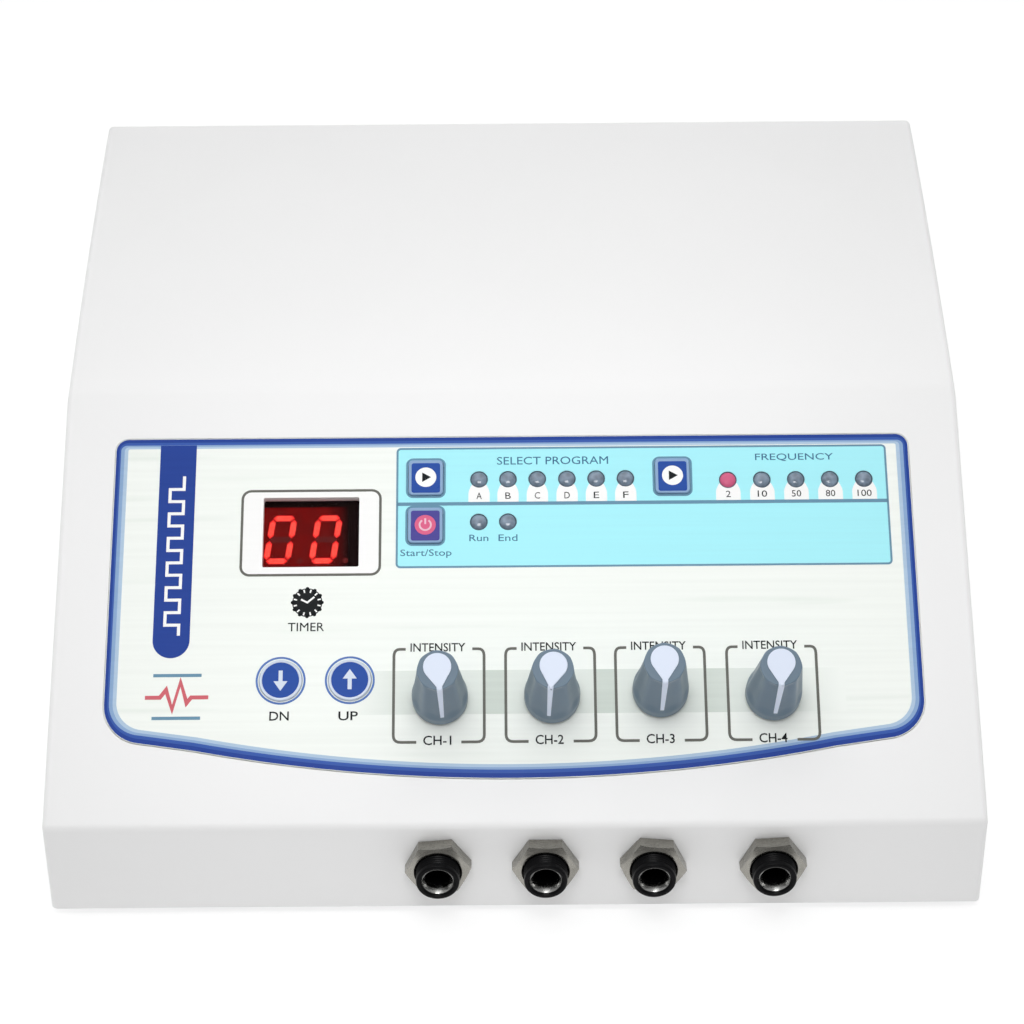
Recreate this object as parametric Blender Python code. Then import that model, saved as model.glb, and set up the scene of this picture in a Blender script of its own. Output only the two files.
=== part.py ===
"""Four-channel desktop stimulator: a wedge-shaped ABS case with a label panel, keys, lamps, knobs and jacks.

Frame: +Z up, +Y towards the back, +X to the right as the user sees it. The feet stand on z = 0 and the
origin is the middle of the footprint. Sizes below are in millimetres and become metres in each mesh.
"""

import math

import bmesh
import bpy
from mathutils import Matrix, Vector

MM = 0.001

# Case
CASE_WIDTH = 250.0
CASE_BOTTOM_Z = 3.2
CASE_FRONT_Y = -119.3
SIDE_DRAFT = math.radians(0.3)
FRONT_FACE = 27.9
FRONT_LEAN = math.radians(10.0)
PANEL_LENGTH = 123.7
PANEL_SLOPE = math.radians(24.7)
TOP_LENGTH = 121.3
TOP_SLOPE = math.radians(3.1)
TOP_CROWN = 1.8
CROWN_STEPS = 5
WALL = 2.5
EDGE_ROUND = 1.6
TRIM_DEPTH = 6.0
GAP = 0.3
HOLE_GAP = 0.35

# Label panel: places are (x, distance up the slope from the front top edge)
LABEL_HALF_WIDTH = 110.0
LABEL_TOP = 111.2
LABEL_SIDE_BOTTOM = 25.1
LABEL_LOW = 12.9
LABEL_TOP_RADIUS = 3.5
LABEL_BOTTOM_RADIUS = 11.0
LABEL_POCKET = 0.6
LABEL_THICK = 0.5
LABEL_PROUD = 0.2

WINDOW_CENTRE = (-55.4, 83.2)
WINDOW_SIZE = (26.4, 20.4)
FILTER_LOW = -2.6
FILTER_HIGH = -1.4
MODULE_CENTRE = (-57.8, 82.3)
MODULE_SIZE = (25.0, 19.0, 7.7)
MODULE_TOP = -3.2

ROUND_KEYS = {"key_down": (-62.7, 40.5), "key_up": (-44.1, 40.5)}
SQUARE_KEYS = {
    "key_program": (-23.9, 98.9),
    "key_frequency": (44.3, 98.9),
    "key_start_stop": (-24.0, 84.8),
}
ROUND_KEY_RADIUS = 5.8
SQUARE_KEY_SIZE = (9.6, 10.4)
SQUARE_KEY_CORNER = 1.3
KEY_TOP = 0.9
KEY_TRAVEL = 0.5

LAMP_RADIUS = 2.35
LAMP_TOP = 0.8
LAMP_ROWS = {
    "program_leds": [(-9.2, 98.4), (-1.2, 98.4), (6.9, 98.4), (15.1, 98.4), (23.2, 98.4), (31.3, 98.4)],
    "frequency_leds": [(59.6, 97.7), (69.0, 97.7), (78.4, 97.7), (87.8, 97.7), (97.2, 97.7)],
    "status_leds": [(-9.3, 85.8), (-1.3, 85.8)],
}

# Knobs and potentiometers
KNOB_PLACES = [(-19.8, 35.05), (10.2, 35.2), (39.2, 36.6), (69.4, 35.5)]
KNOB_LEANS = [math.radians(6.0), math.radians(-8.0), 0.0, math.radians(-2.0)]
KNOB_BASE_RADIUS = 7.5
KNOB_TOP_RADIUS = 5.5
KNOB_BOTTOM = 1.0
KNOB_TOP = 25.5
SKIRT_TOP = 4.4
FLUTE_START = 6.0
FLUTES = 8
FLUTE_DEPTH = 0.5
KNOB_SIDES = 24
LINE_END = 7.2
SHAFT_RADIUS = 3.0
SHAFT_TOP = 18.0
SHAFT_BOTTOM = -9.0
BUSHING_RADIUS = 3.5
BUSHING_TOP = 4.6
POT_RADIUS = 8.0
POT_DEPTH = 8.5
POT_NUT_FLATS = 10.0
POT_NUT_THICK = 2.2

# Output jacks, on the front face: places are x, and one height up the face
JACK_PLACES = [-20.5, 8.0, 36.6, 68.4]
JACK_UP = 15.6
JACK_NUT_TURNS = [math.radians(5.0), 0.0, math.radians(-6.0), math.radians(4.0)]
JACK_RADIUS = 5.8
JACK_PROUD = 8.5
JACK_BORE = 3.5
JACK_BORE_DEPTH = 26.0
JACK_BOX = (15.0, 15.0, 24.0)
JACK_NUT_FLATS = 15.4
JACK_NUT_THICK = 4.0
FERRULE_RADIUS = 4.5
FERRULE_DEPTH = 3.0
FERRULE_SINK = 1.4

# Rear inlet module: x, height of its middle, flange and body sizes
INLET_PLACE = (-70.0, 44.0)
INLET_FLANGE = (50.0, 58.0, 2.0)
INLET_BODY = (46.0, 52.0, 26.0)
SOCKET_SIZE = (24.4, 16.6)
SOCKET_DEPTH = 16.0
SOCKET_DOWN = 13.5
DRAWER_SIZE = (24.0, 8.0)
DRAWER_DEPTH = 20.0
DRAWER_UP = 3.4
ROCKER_SIZE = (19.0, 8.6)
ROCKER_UP = 18.0
ROCKER_TILT = math.radians(9.0)
ROCKER_PIVOT_DEPTH = 3.5

# Inside and underneath
TRAY_THICK = 2.5
BOSS_PLACES = [(-112.0, 15.0), (112.0, 15.0), (-112.0, 226.0), (112.0, 226.0)]
BOSS_RADIUS = 4.2
SCREW_RADIUS = 1.5
SCREW_HEAD_RADIUS = 2.9
SCREW_HEAD_THICK = 1.2
SCREW_LENGTH = 12.0
FOOT_PLACES = [(-98.0, 22.0), (98.0, 22.0), (-98.0, 216.0), (98.0, 216.0)]
FOOT_RADIUS = 7.0
FOOT_POCKET = 1.0
BOARD_THICK = 1.6
BOARD_DEPTH = 11.3
MAIN_BOARD = (-64.0, 44.0, 70.0, 190.0)
MAIN_BOARD_POST = 6.0
TRANSFORMER_PLACE = (78.0, 176.0)


def clear_scene():
    for item in list(bpy.data.objects):
        bpy.data.objects.remove(item, do_unlink=True)


def make_material(name, colour, roughness, metallic=0.0):
    material = bpy.data.materials.new(name)
    material.use_nodes = True
    shader = material.node_tree.nodes["Principled BSDF"]
    shader.inputs["Base Color"].default_value = (*colour, 1.0)
    shader.inputs["Roughness"].default_value = roughness
    shader.inputs["Metallic"].default_value = metallic
    return material


def make_materials():
    return {
        "case": make_material("case_white", (0.90, 0.90, 0.91), 0.45),
        "tray": make_material("tray_grey", (0.55, 0.56, 0.58), 0.55),
        "label": make_material("label_white", (0.91, 0.94, 0.90), 0.35),
        "filter": make_material("filter_red", (0.09, 0.01, 0.01), 0.12),
        "digits": make_material("display_black", (0.03, 0.02, 0.02), 0.4),
        "board": make_material("board_green", (0.03, 0.17, 0.08), 0.5),
        "knob": make_material("knob_grey", (0.17, 0.23, 0.29), 0.4),
        "pointer": make_material("pointer_white", (0.80, 0.86, 0.97), 0.4),
        "steel": make_material("nickel", (0.62, 0.61, 0.57), 0.3, 1.0),
        "chrome": make_material("ferrule_chrome", (0.75, 0.75, 0.75), 0.15, 1.0),
        "pot": make_material("pot_steel", (0.55, 0.56, 0.58), 0.4, 1.0),
        "black": make_material("jack_black", (0.012, 0.012, 0.013), 0.35),
        "key": make_material("key_blue", (0.05, 0.13, 0.45), 0.4),
        "lamp": make_material("lamp_grey", (0.42, 0.47, 0.48), 0.25),
        "rubber": make_material("foot_rubber", (0.02, 0.02, 0.02), 0.8),
        "screw": make_material("screw_zinc", (0.6, 0.6, 0.58), 0.35, 1.0),
        "core": make_material("core_steel", (0.25, 0.25, 0.26), 0.5, 0.8),
        "ribbon": make_material("ribbon_grey", (0.45, 0.46, 0.48), 0.6),
        "rocker": make_material("rocker_black", (0.02, 0.02, 0.02), 0.3),
    }


def make_object(name, shape, material=None, parent=None, place=(0.0, 0.0, 0.0), turn=(0.0, 0.0, 0.0)):
    """Turns a bmesh in millimetres into an object in metres, with its faces pointing out."""
    bmesh.ops.recalc_face_normals(shape, faces=shape.faces)
    bmesh.ops.scale(shape, vec=(MM, MM, MM), verts=shape.verts)
    mesh = bpy.data.meshes.new(name)
    shape.to_mesh(mesh)
    shape.free()
    item = bpy.data.objects.new(name, mesh)
    if material is not None:
        mesh.materials.append(material)
    bpy.context.collection.objects.link(item)
    item.parent = parent
    item.location = Vector(place) * MM
    item.rotation_euler = turn
    return item


def make_frame(name, place, turn):
    frame = bpy.data.objects.new(name, None)
    bpy.context.collection.objects.link(frame)
    frame.location = Vector(place) * MM
    frame.rotation_euler = turn
    return frame


def shade_round(item):
    item.data.shade_smooth()
    item.data.set_sharp_from_angle(angle=math.radians(35.0))


def boolean(target, tool, operation):
    tool.hide_render = True
    tool.display_type = "WIRE"
    step = target.modifiers.new(operation.lower() + "_" + tool.name, "BOOLEAN")
    step.operation = operation
    step.solver = "EXACT"
    step.object = tool


def carve(target, tool):
    boolean(target, tool, "DIFFERENCE")


def weld(target, tool):
    boolean(target, tool, "UNION")


def add_prism(shape, outline, low, high):
    """Adds a straight prism over an outline of (x, y) points."""
    bottom = [shape.verts.new((x, y, low)) for x, y in outline]
    top = [shape.verts.new((x, y, high)) for x, y in outline]
    shape.faces.new(bottom)
    shape.faces.new(top)
    count = len(outline)
    for i in range(count):
        j = (i + 1) % count
        shape.faces.new((bottom[i], bottom[j], top[j], top[i]))


def add_side_prism(shape, outline, half_width):
    """Adds a prism along X over an outline of (y, z) points."""
    left = [shape.verts.new((-half_width, y, z)) for y, z in outline]
    right = [shape.verts.new((half_width, y, z)) for y, z in outline]
    shape.faces.new(left)
    shape.faces.new(right)
    count = len(outline)
    for i in range(count):
        j = (i + 1) % count
        shape.faces.new((left[i], left[j], right[j], right[i]))


def circle(radius, sides, centre=(0.0, 0.0), start=0.0):
    points = []
    for i in range(sides):
        angle = start + 2.0 * math.pi * i / sides
        points.append((centre[0] + radius * math.cos(angle), centre[1] + radius * math.sin(angle)))
    return points


def rectangle(width, height, centre=(0.0, 0.0)):
    x, y = centre
    return [
        (x - width / 2, y - height / 2),
        (x + width / 2, y - height / 2),
        (x + width / 2, y + height / 2),
        (x - width / 2, y + height / 2),
    ]


def rounded_rectangle(width, height, radius, centre=(0.0, 0.0), steps=3):
    points = []
    corners = [(1, 1, 0.0), (-1, 1, 0.5), (-1, -1, 1.0), (1, -1, 1.5)]
    for side_x, side_y, turn in corners:
        corner_x = centre[0] + side_x * (width / 2 - radius)
        corner_y = centre[1] + side_y * (height / 2 - radius)
        for i in range(steps + 1):
            angle = math.pi * (turn + 0.5 * i / steps)
            points.append((corner_x + radius * math.cos(angle), corner_y + radius * math.sin(angle)))
    return points


def turned(profile, sides, ripple=None):
    """A body turned about Z from (radius, height) points. Ends off the axis are joined to each other."""
    shape = bmesh.new()
    rings = []
    for radius, height in profile:
        if radius == 0.0:
            rings.append([shape.verts.new((0.0, 0.0, height))])
            continue
        ring = []
        for i in range(sides):
            angle = 2.0 * math.pi * i / sides
            here = radius - (ripple(angle, radius, height) if ripple else 0.0)
            ring.append(shape.verts.new((here * math.cos(angle), here * math.sin(angle), height)))
        rings.append(ring)
    pairs = list(zip(rings, rings[1:]))
    if profile[0][0] > 0.0 and profile[-1][0] > 0.0:
        pairs.append((rings[-1], rings[0]))
    for upper, lower in pairs:
        join_rings(shape, upper, lower, sides)
    return shape


def join_rings(shape, upper, lower, sides):
    for i in range(sides):
        j = (i + 1) % sides
        if len(upper) == 1:
            shape.faces.new((upper[0], lower[i], lower[j]))
        elif len(lower) == 1:
            shape.faces.new((upper[i], lower[0], upper[j]))
        else:
            shape.faces.new((upper[i], lower[i], lower[j], upper[j]))


# Case profile, as (y, z) with y measured from the front bottom edge


def front_top():
    return (FRONT_FACE * math.sin(FRONT_LEAN), CASE_BOTTOM_Z + FRONT_FACE * math.cos(FRONT_LEAN))


def crease():
    y, z = front_top()
    return (y + PANEL_LENGTH * math.cos(PANEL_SLOPE), z + PANEL_LENGTH * math.sin(PANEL_SLOPE))


def back_top():
    y, z = crease()
    return (y + TOP_LENGTH * math.cos(TOP_SLOPE), z + TOP_LENGTH * math.sin(TOP_SLOPE))


def case_path():
    """The case's outline from the front bottom edge over the top to the back bottom edge."""
    start_y, start_z = crease()
    path = [(0.0, CASE_BOTTOM_Z), front_top(), crease()]
    for i in range(1, CROWN_STEPS):
        part = i / CROWN_STEPS
        rise = 4.0 * TOP_CROWN * part * (1.0 - part)
        y = start_y + part * TOP_LENGTH * math.cos(TOP_SLOPE) - rise * math.sin(TOP_SLOPE)
        z = start_z + part * TOP_LENGTH * math.sin(TOP_SLOPE) + rise * math.cos(TOP_SLOPE)
        path.append((y, z))
    path.append(back_top())
    path.append((back_top()[0], CASE_BOTTOM_Z))
    return path


def outer_path():
    """The case's outline carried on below its bottom edge, so that rounding leaves that edge square."""
    path = case_path()
    low = CASE_BOTTOM_Z - TRIM_DEPTH
    return [(-TRIM_DEPTH * math.tan(FRONT_LEAN), low)] + path[1:-1] + [(path[-1][0], low)]


def offset_path(path, distance):
    """Moves an open path to its right-hand side, with mitred corners."""
    normals = []
    for (y0, z0), (y1, z1) in zip(path, path[1:]):
        length = math.hypot(y1 - y0, z1 - z0)
        normals.append(((z1 - z0) / length, -(y1 - y0) / length))
    moved = [(path[0][0] + distance * normals[0][0], path[0][1] + distance * normals[0][1])]
    for (y, z), before, after in zip(path[1:-1], normals, normals[1:]):
        scale = distance / (1.0 + before[0] * after[0] + before[1] * after[1])
        moved.append((y + scale * (before[0] + after[0]), z + scale * (before[1] + after[1])))
    end = (path[-1][0] + distance * normals[-1][0], path[-1][1] + distance * normals[-1][1])
    moved.append(end)
    return moved


def roof_height(y):
    """Height of the outside of the case at a distance y behind the front bottom edge."""
    path = case_path()
    for (y0, z0), (y1, z1) in zip(path[1:-1], path[2:-1]):
        if y0 <= y <= y1:
            return z0 + (z1 - z0) * (y - y0) / (y1 - y0)
    return path[1][1]


def half_width(z, inset):
    return CASE_WIDTH / 2 - inset - (z - CASE_BOTTOM_Z) * math.tan(SIDE_DRAFT)


def add_case_solid(shape, path, inset):
    left = [shape.verts.new((-half_width(z, inset), y + CASE_FRONT_Y, z)) for y, z in path]
    right = [shape.verts.new((half_width(z, inset), y + CASE_FRONT_Y, z)) for y, z in path]
    shape.faces.new(left)
    shape.faces.new(right)
    for i in range(len(path)):
        j = (i + 1) % len(path)
        shape.faces.new((left[i], left[j], right[j], right[i]))


def label_outline(grow):
    """Outline of the label, or of the space around it, on the sloping panel."""
    half = LABEL_HALF_WIDTH + grow
    top = LABEL_TOP + grow
    radius = LABEL_TOP_RADIUS + grow
    points = []
    for i in range(4):
        angle = math.pi * 0.5 * i / 3
        points.append((half - radius + radius * math.cos(angle), top - radius + radius * math.sin(angle)))
    for i in range(4):
        angle = math.pi * (0.5 + 0.5 * i / 3)
        points.append((radius - half + radius * math.cos(angle), top - radius + radius * math.sin(angle)))
    rise = LABEL_SIDE_BOTTOM - LABEL_LOW
    reach = LABEL_HALF_WIDTH - LABEL_BOTTOM_RADIUS * 0.5
    arc_radius = (reach * reach + rise * rise) / (2.0 * rise)
    bend = math.asin(reach / arc_radius)
    round_radius = LABEL_BOTTOM_RADIUS + grow
    corner_y = LABEL_SIDE_BOTTOM + LABEL_BOTTOM_RADIUS * 0.82
    corner_x = LABEL_HALF_WIDTH - LABEL_BOTTOM_RADIUS
    end_angle = 1.5 * math.pi - bend * 0.92
    for i in range(5):
        angle = math.pi + (end_angle - math.pi) * i / 4
        x = -corner_x + round_radius * math.cos(angle)
        points.append((x, corner_y + round_radius * math.sin(angle)))
    for i in range(1, 10):
        angle = bend * 0.86 * (i / 5 - 1.0)
        low = LABEL_LOW - grow + arc_radius
        points.append(((arc_radius + grow) * math.sin(angle), low - arc_radius * math.cos(angle)))
    for i in range(4, -1, -1):
        angle = math.pi + (end_angle - math.pi) * i / 4
        x = corner_x - round_radius * math.cos(angle)
        points.append((x, corner_y + round_radius * math.sin(angle)))
    return points


def add_panel_holes(shape, low, high):
    """Adds every opening through the sloping panel: window, keys, lamps and knob bushings."""
    window = rectangle(WINDOW_SIZE[0], WINDOW_SIZE[1], WINDOW_CENTRE)
    add_prism(shape, window, low, high)
    for place in ROUND_KEYS.values():
        add_prism(shape, circle(ROUND_KEY_RADIUS + HOLE_GAP, 20, place), low, high)
    for place in SQUARE_KEYS.values():
        width = SQUARE_KEY_SIZE[0] + 2 * HOLE_GAP
        height = SQUARE_KEY_SIZE[1] + 2 * HOLE_GAP
        outline = rounded_rectangle(width, height, SQUARE_KEY_CORNER + HOLE_GAP, place)
        add_prism(shape, outline, low, high)
    for row in LAMP_ROWS.values():
        for place in row:
            add_prism(shape, circle(LAMP_RADIUS + HOLE_GAP, 12, place), low, high)
    for place in KNOB_PLACES:
        add_prism(shape, circle(BUSHING_RADIUS + HOLE_GAP, 16, place), low, high)


def make_panel_cutter(name, low, high, panel):
    shape = bmesh.new()
    add_panel_holes(shape, low, high)
    return make_object(name, shape, parent=panel)


def make_bosses():
    """Screw posts that hang from the roof of the cover down to the tray, with a screw hole in each."""
    posts = bmesh.new()
    holes = bmesh.new()
    low = CASE_BOTTOM_Z + TRAY_THICK + GAP
    for x, y in BOSS_PLACES:
        ring = circle(BOSS_RADIUS, 16)
        bottom = [posts.verts.new((x + a, y + b + CASE_FRONT_Y, low)) for a, b in ring]
        top = []
        for a, b in ring:
            height = roof_height(y + b) - WALL / 2
            top.append(posts.verts.new((x + a, y + b + CASE_FRONT_Y, height)))
        posts.faces.new(bottom)
        posts.faces.new(top)
        for i in range(len(ring)):
            j = (i + 1) % len(ring)
            posts.faces.new((bottom[i], bottom[j], top[j], top[i]))
        centre = (x, y + CASE_FRONT_Y)
        add_prism(holes, circle(SCREW_RADIUS + GAP, 12, centre), low - 1.0, low + SCREW_LENGTH)
    return make_object("tool_boss_posts", posts), make_object("tool_boss_holes", holes)


def make_top_cover(materials, panel, front, rear):
    shape = bmesh.new()
    add_case_solid(shape, outer_path(), 0.0)
    cover = make_object("top_cover", shape, materials["case"])
    rounding = cover.modifiers.new("rounding", "BEVEL")
    rounding.width = EDGE_ROUND * MM
    rounding.segments = 3
    rounding.limit_method = "ANGLE"
    rounding.angle_limit = math.radians(30.0)
    below = bmesh.new()
    add_prism(below, rectangle(1.2 * CASE_WIDTH, 1.2 * CASE_WIDTH), -2.0 * TRIM_DEPTH, CASE_BOTTOM_Z)
    carve(cover, make_object("tool_below", below))

    hollow = bmesh.new()
    inner = offset_path(case_path(), WALL)
    inner = [(inner[0][0], inner[0][1] - WALL)] + inner + [(inner[-1][0], inner[-1][1] - WALL)]
    add_case_solid(hollow, inner, WALL)
    carve(cover, make_object("tool_hollow", hollow))

    posts, screw_holes = make_bosses()
    weld(cover, posts)
    carve(cover, screw_holes)

    pocket = bmesh.new()
    add_prism(pocket, label_outline(GAP), -LABEL_POCKET, 3.0)
    carve(cover, make_object("tool_label_pocket", pocket, parent=panel))
    carve(cover, make_panel_cutter("tool_panel_holes", -WALL - 2.0, 1.0, panel))

    jack_holes = bmesh.new()
    for x in JACK_PLACES:
        add_prism(jack_holes, circle(JACK_RADIUS + HOLE_GAP, 20, (x, JACK_UP)), -WALL - 1.0, 1.0)
    carve(cover, make_object("tool_jack_holes", jack_holes, parent=front))

    inlet_hole = bmesh.new()
    body = rectangle(INLET_BODY[0] + 2 * HOLE_GAP, INLET_BODY[1] + 2 * HOLE_GAP)
    add_prism(inlet_hole, body, -WALL - 1.0, 1.0)
    carve(cover, make_object("tool_inlet_hole", inlet_hole, parent=rear))
    return cover


def tray_outline():
    path = case_path()
    inner = offset_path(path, WALL + 0.4)
    front_y = inner[0][0] + 0.4
    back_y = inner[-1][0]
    half = half_width(CASE_BOTTOM_Z, WALL + 0.4)
    low, high = CASE_FRONT_Y + front_y, CASE_FRONT_Y + back_y
    return rounded_rectangle(2 * half, high - low, 1.0, (0.0, (low + high) / 2), 2)


def make_base_tray(materials):
    shape = bmesh.new()
    add_prism(shape, tray_outline(), CASE_BOTTOM_Z, CASE_BOTTOM_Z + TRAY_THICK)
    tray = make_object("base_tray", shape, materials["tray"])

    posts = bmesh.new()
    top = CASE_BOTTOM_Z + TRAY_THICK + MAIN_BOARD_POST
    for x, y in board_corners():
        place = (x, y + CASE_FRONT_Y)
        add_prism(posts, circle(3.0, 12, place), CASE_BOTTOM_Z + TRAY_THICK / 2, top)
    weld(tray, make_object("tool_board_posts", posts))

    cuts = bmesh.new()
    for x, y in BOSS_PLACES:
        place = (x, y + CASE_FRONT_Y)
        add_prism(cuts, circle(SCREW_RADIUS + GAP, 12, place), 0.0, 20.0)
    carve(tray, make_object("tool_tray_screw_holes", cuts))

    bores = bmesh.new()
    for x, y in BOSS_PLACES:
        place = (x, y + CASE_FRONT_Y)
        bore_top = CASE_BOTTOM_Z + SCREW_HEAD_THICK + GAP
        add_prism(bores, circle(SCREW_HEAD_RADIUS + GAP, 16, place), 0.0, bore_top)
    for x, y in FOOT_PLACES:
        place = (x, y + CASE_FRONT_Y)
        add_prism(bores, circle(FOOT_RADIUS + GAP, 16, place), 0.0, CASE_BOTTOM_Z + FOOT_POCKET)
    carve(tray, make_object("tool_tray_bores", bores))

    slots = bmesh.new()
    for side in (-1, 1):
        for i in range(6):
            place = (side * 60.0, CASE_FRONT_Y + 70.0 + 9.0 * i)
            add_prism(slots, rectangle(44.0, 2.6, place), 0.0, 9.0)
    carve(tray, make_object("tool_air_slots", slots))
    return tray


def board_corners():
    left, front, right, back = MAIN_BOARD
    inset = 5.0
    return [
        (left + inset, front + inset),
        (right - inset, front + inset),
        (left + inset, back - inset),
        (right - inset, back - inset),
    ]


def make_front_label(materials, panel):
    shape = bmesh.new()
    add_prism(shape, label_outline(0.0), LABEL_PROUD - LABEL_THICK, LABEL_PROUD)
    label = make_object("front_label", shape, materials["label"], panel)
    carve(label, make_panel_cutter("tool_label_holes", -1.0, 1.0, panel))
    return label


def make_display(materials, panel):
    window = bmesh.new()
    outline = rectangle(WINDOW_SIZE[0] - 2 * GAP, WINDOW_SIZE[1] - 2 * GAP)
    add_prism(window, outline, FILTER_LOW, FILTER_HIGH)
    make_object("display_window", window, materials["filter"], panel, (*WINDOW_CENTRE, 0.0))

    module = bmesh.new()
    width, height, depth = MODULE_SIZE
    add_prism(module, rectangle(width, height), MODULE_TOP - depth, MODULE_TOP)
    make_object("display_module", module, materials["digits"], panel, (*MODULE_CENTRE, 0.0))


def make_display_board(materials, panel):
    """L-shaped board under the panel, with one tact switch under each key."""
    outline = [
        (-80.0, 28.0),
        (-34.0, 28.0),
        (-34.0, 66.0),
        (103.0, 66.0),
        (103.0, 106.0),
        (-80.0, 106.0),
    ]
    shape = bmesh.new()
    add_prism(shape, outline, -BOARD_DEPTH - BOARD_THICK, -BOARD_DEPTH)
    board = make_object("display_board", shape, materials["board"], panel)
    switches = bmesh.new()
    plungers = bmesh.new()
    for x, y in list(ROUND_KEYS.values()) + list(SQUARE_KEYS.values()):
        add_prism(switches, rectangle(6.0, 6.0, (x, y)), -BOARD_DEPTH - 0.5, -BOARD_DEPTH + 3.0)
        add_prism(plungers, circle(1.7, 10, (x, y)), -BOARD_DEPTH + 2.5, -BOARD_DEPTH + 3.5)
    weld(board, make_object("tool_switches", switches, parent=panel))
    weld(board, make_object("tool_plungers", plungers, parent=panel))
    return board


def key_levels():
    """Heights of a key: retaining flange top and bottom, and stem end above its switch."""
    flange_top = -WALL - GAP
    flange_bottom = flange_top - 1.0
    stem_end = -BOARD_DEPTH + 3.5 + KEY_TRAVEL + GAP
    return flange_top, flange_bottom, stem_end


def make_round_key(name, place, materials, panel):
    flange_top, flange_bottom, stem_end = key_levels()
    profile = [
        (0.0, KEY_TOP),
        (ROUND_KEY_RADIUS - 1.2, KEY_TOP - 0.1),
        (ROUND_KEY_RADIUS - 0.3, KEY_TOP - 0.3),
        (ROUND_KEY_RADIUS, KEY_TOP - 0.7),
        (ROUND_KEY_RADIUS, flange_top),
        (ROUND_KEY_RADIUS + 1.2, flange_top),
        (ROUND_KEY_RADIUS + 1.2, flange_bottom),
        (2.0, flange_bottom),
        (2.0, stem_end),
        (0.0, stem_end),
    ]
    key = make_object(name, turned(profile, 20), materials["key"], panel, (place[0], place[1], 0.0))
    shade_round(key)
    return key


def make_square_key(name, place, materials, panel):
    flange_top, flange_bottom, stem_end = key_levels()
    width, height = SQUARE_KEY_SIZE
    shape = bmesh.new()
    add_prism(shape, rounded_rectangle(width, height, SQUARE_KEY_CORNER), flange_top - 0.5, KEY_TOP)
    key = make_object(name, shape, materials["key"], panel, (place[0], place[1], 0.0))
    flange = bmesh.new()
    add_prism(flange, rectangle(width + 2.0, height + 2.0, place), flange_bottom, flange_top)
    weld(key, make_object("tool_flange_" + name, flange, parent=panel))
    stem = bmesh.new()
    add_prism(stem, circle(2.0, 10, place), stem_end, flange_bottom + 0.4)
    weld(key, make_object("tool_stem_" + name, stem, parent=panel))
    return key


def make_lamp_row(name, places, materials, panel):
    """Lamps standing on one spacer strip."""
    left = min(x for x, _ in places) - 3.0
    right = max(x for x, _ in places) + 3.0
    y = places[0][1]
    strip = bmesh.new()
    low = -BOARD_DEPTH + GAP
    add_prism(strip, rectangle(right - left, 6.0, ((left + right) / 2, y)), low, low + 3.0)
    row = make_object(name, strip, materials["lamp"], panel)
    for number, (x, y) in enumerate(places):
        profile = [
            (0.0, LAMP_TOP),
            (LAMP_RADIUS * 0.7, LAMP_TOP - 0.3),
            (LAMP_RADIUS, LAMP_TOP - 1.1),
            (LAMP_RADIUS, low + 1.5),
            (0.0, low + 1.5),
        ]
        lamp = make_object("tool_" + name + str(number), turned(profile, 10), None, panel, (x, y, 0.0))
        weld(row, lamp)
    return row


def knob_radius(height):
    part = (height - SKIRT_TOP) / (KNOB_TOP - SKIRT_TOP)
    return KNOB_BASE_RADIUS + (KNOB_TOP_RADIUS - KNOB_BASE_RADIUS) * part


def knob_ripple(angle, radius, height):
    """Finger flutes: they deepen above the skirt and fade at the top edge. A ridge faces the pointer."""
    if height < FLUTE_START or height > KNOB_TOP - 0.1 or radius < KNOB_TOP_RADIUS:
        return 0.0
    return FLUTE_DEPTH * abs(math.sin(FLUTES / 2 * (angle + math.pi / 2)))


def teardrop(grow):
    """Outline of the pointer plate: round at the back, drawn out to a point on the pointer side."""
    centre_y = 0.85
    radius = 3.65 + grow
    tip_y = -5.4 - grow
    reach = centre_y - tip_y
    tangent = math.acos(radius / reach)
    start = -math.pi / 2 + tangent
    points = []
    steps = 12
    for i in range(steps + 1):
        angle = start + (2 * math.pi - 2 * tangent) * i / steps
        points.append((radius * math.cos(angle), centre_y + radius * math.sin(angle)))
    points.append((0.0, tip_y))
    return points


def make_knob(channel, place, lean, materials, panel):
    name = "knob_ch" + str(channel)
    spin = (0.0, 0.0, lean)
    at = (place[0], place[1], 0.0)
    profile = [
        (0.0, KNOB_TOP),
        (KNOB_TOP_RADIUS - 0.5, KNOB_TOP),
        (KNOB_TOP_RADIUS, KNOB_TOP - 0.5),
        (knob_radius(12.0), 12.0),
        (knob_radius(FLUTE_START), FLUTE_START),
        (KNOB_BASE_RADIUS, SKIRT_TOP),
        (KNOB_BASE_RADIUS, KNOB_BOTTOM + 0.4),
        (KNOB_BASE_RADIUS - 0.4, KNOB_BOTTOM),
        (6.3, KNOB_BOTTOM),
        (6.3, 3.4),
        (BUSHING_RADIUS + 0.6, 3.4),
        (BUSHING_RADIUS + 0.6, BUSHING_TOP + 0.5),
        (SHAFT_RADIUS + 0.12, BUSHING_TOP + 0.5),
        (SHAFT_RADIUS + 0.12, SHAFT_TOP + 0.4),
        (0.0, SHAFT_TOP + 0.4),
    ]
    knob = make_object(name, turned(profile, KNOB_SIDES, knob_ripple), materials["knob"], panel, at, spin)
    shade_round(knob)

    pocket = bmesh.new()
    add_prism(pocket, teardrop(GAP), KNOB_TOP - 0.9, KNOB_TOP + 2.0)
    carve(knob, make_object("tool_pocket_ch" + str(channel), pocket, None, panel, at, spin))
    groove = bmesh.new()
    top = KNOB_TOP - 0.9
    outline = [
        (-2.9, top),
        (-2.9, KNOB_TOP + 2.0),
        (-12.0, KNOB_TOP + 2.0),
        (-12.0, LINE_END - GAP),
        (1.1 - knob_radius(LINE_END - GAP), LINE_END - GAP),
        (1.1 - knob_radius(top), top),
    ]
    add_side_prism(groove, outline, 1.0)
    carve(knob, make_object("tool_groove_ch" + str(channel), groove, None, panel, at, spin))
    return knob


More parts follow.
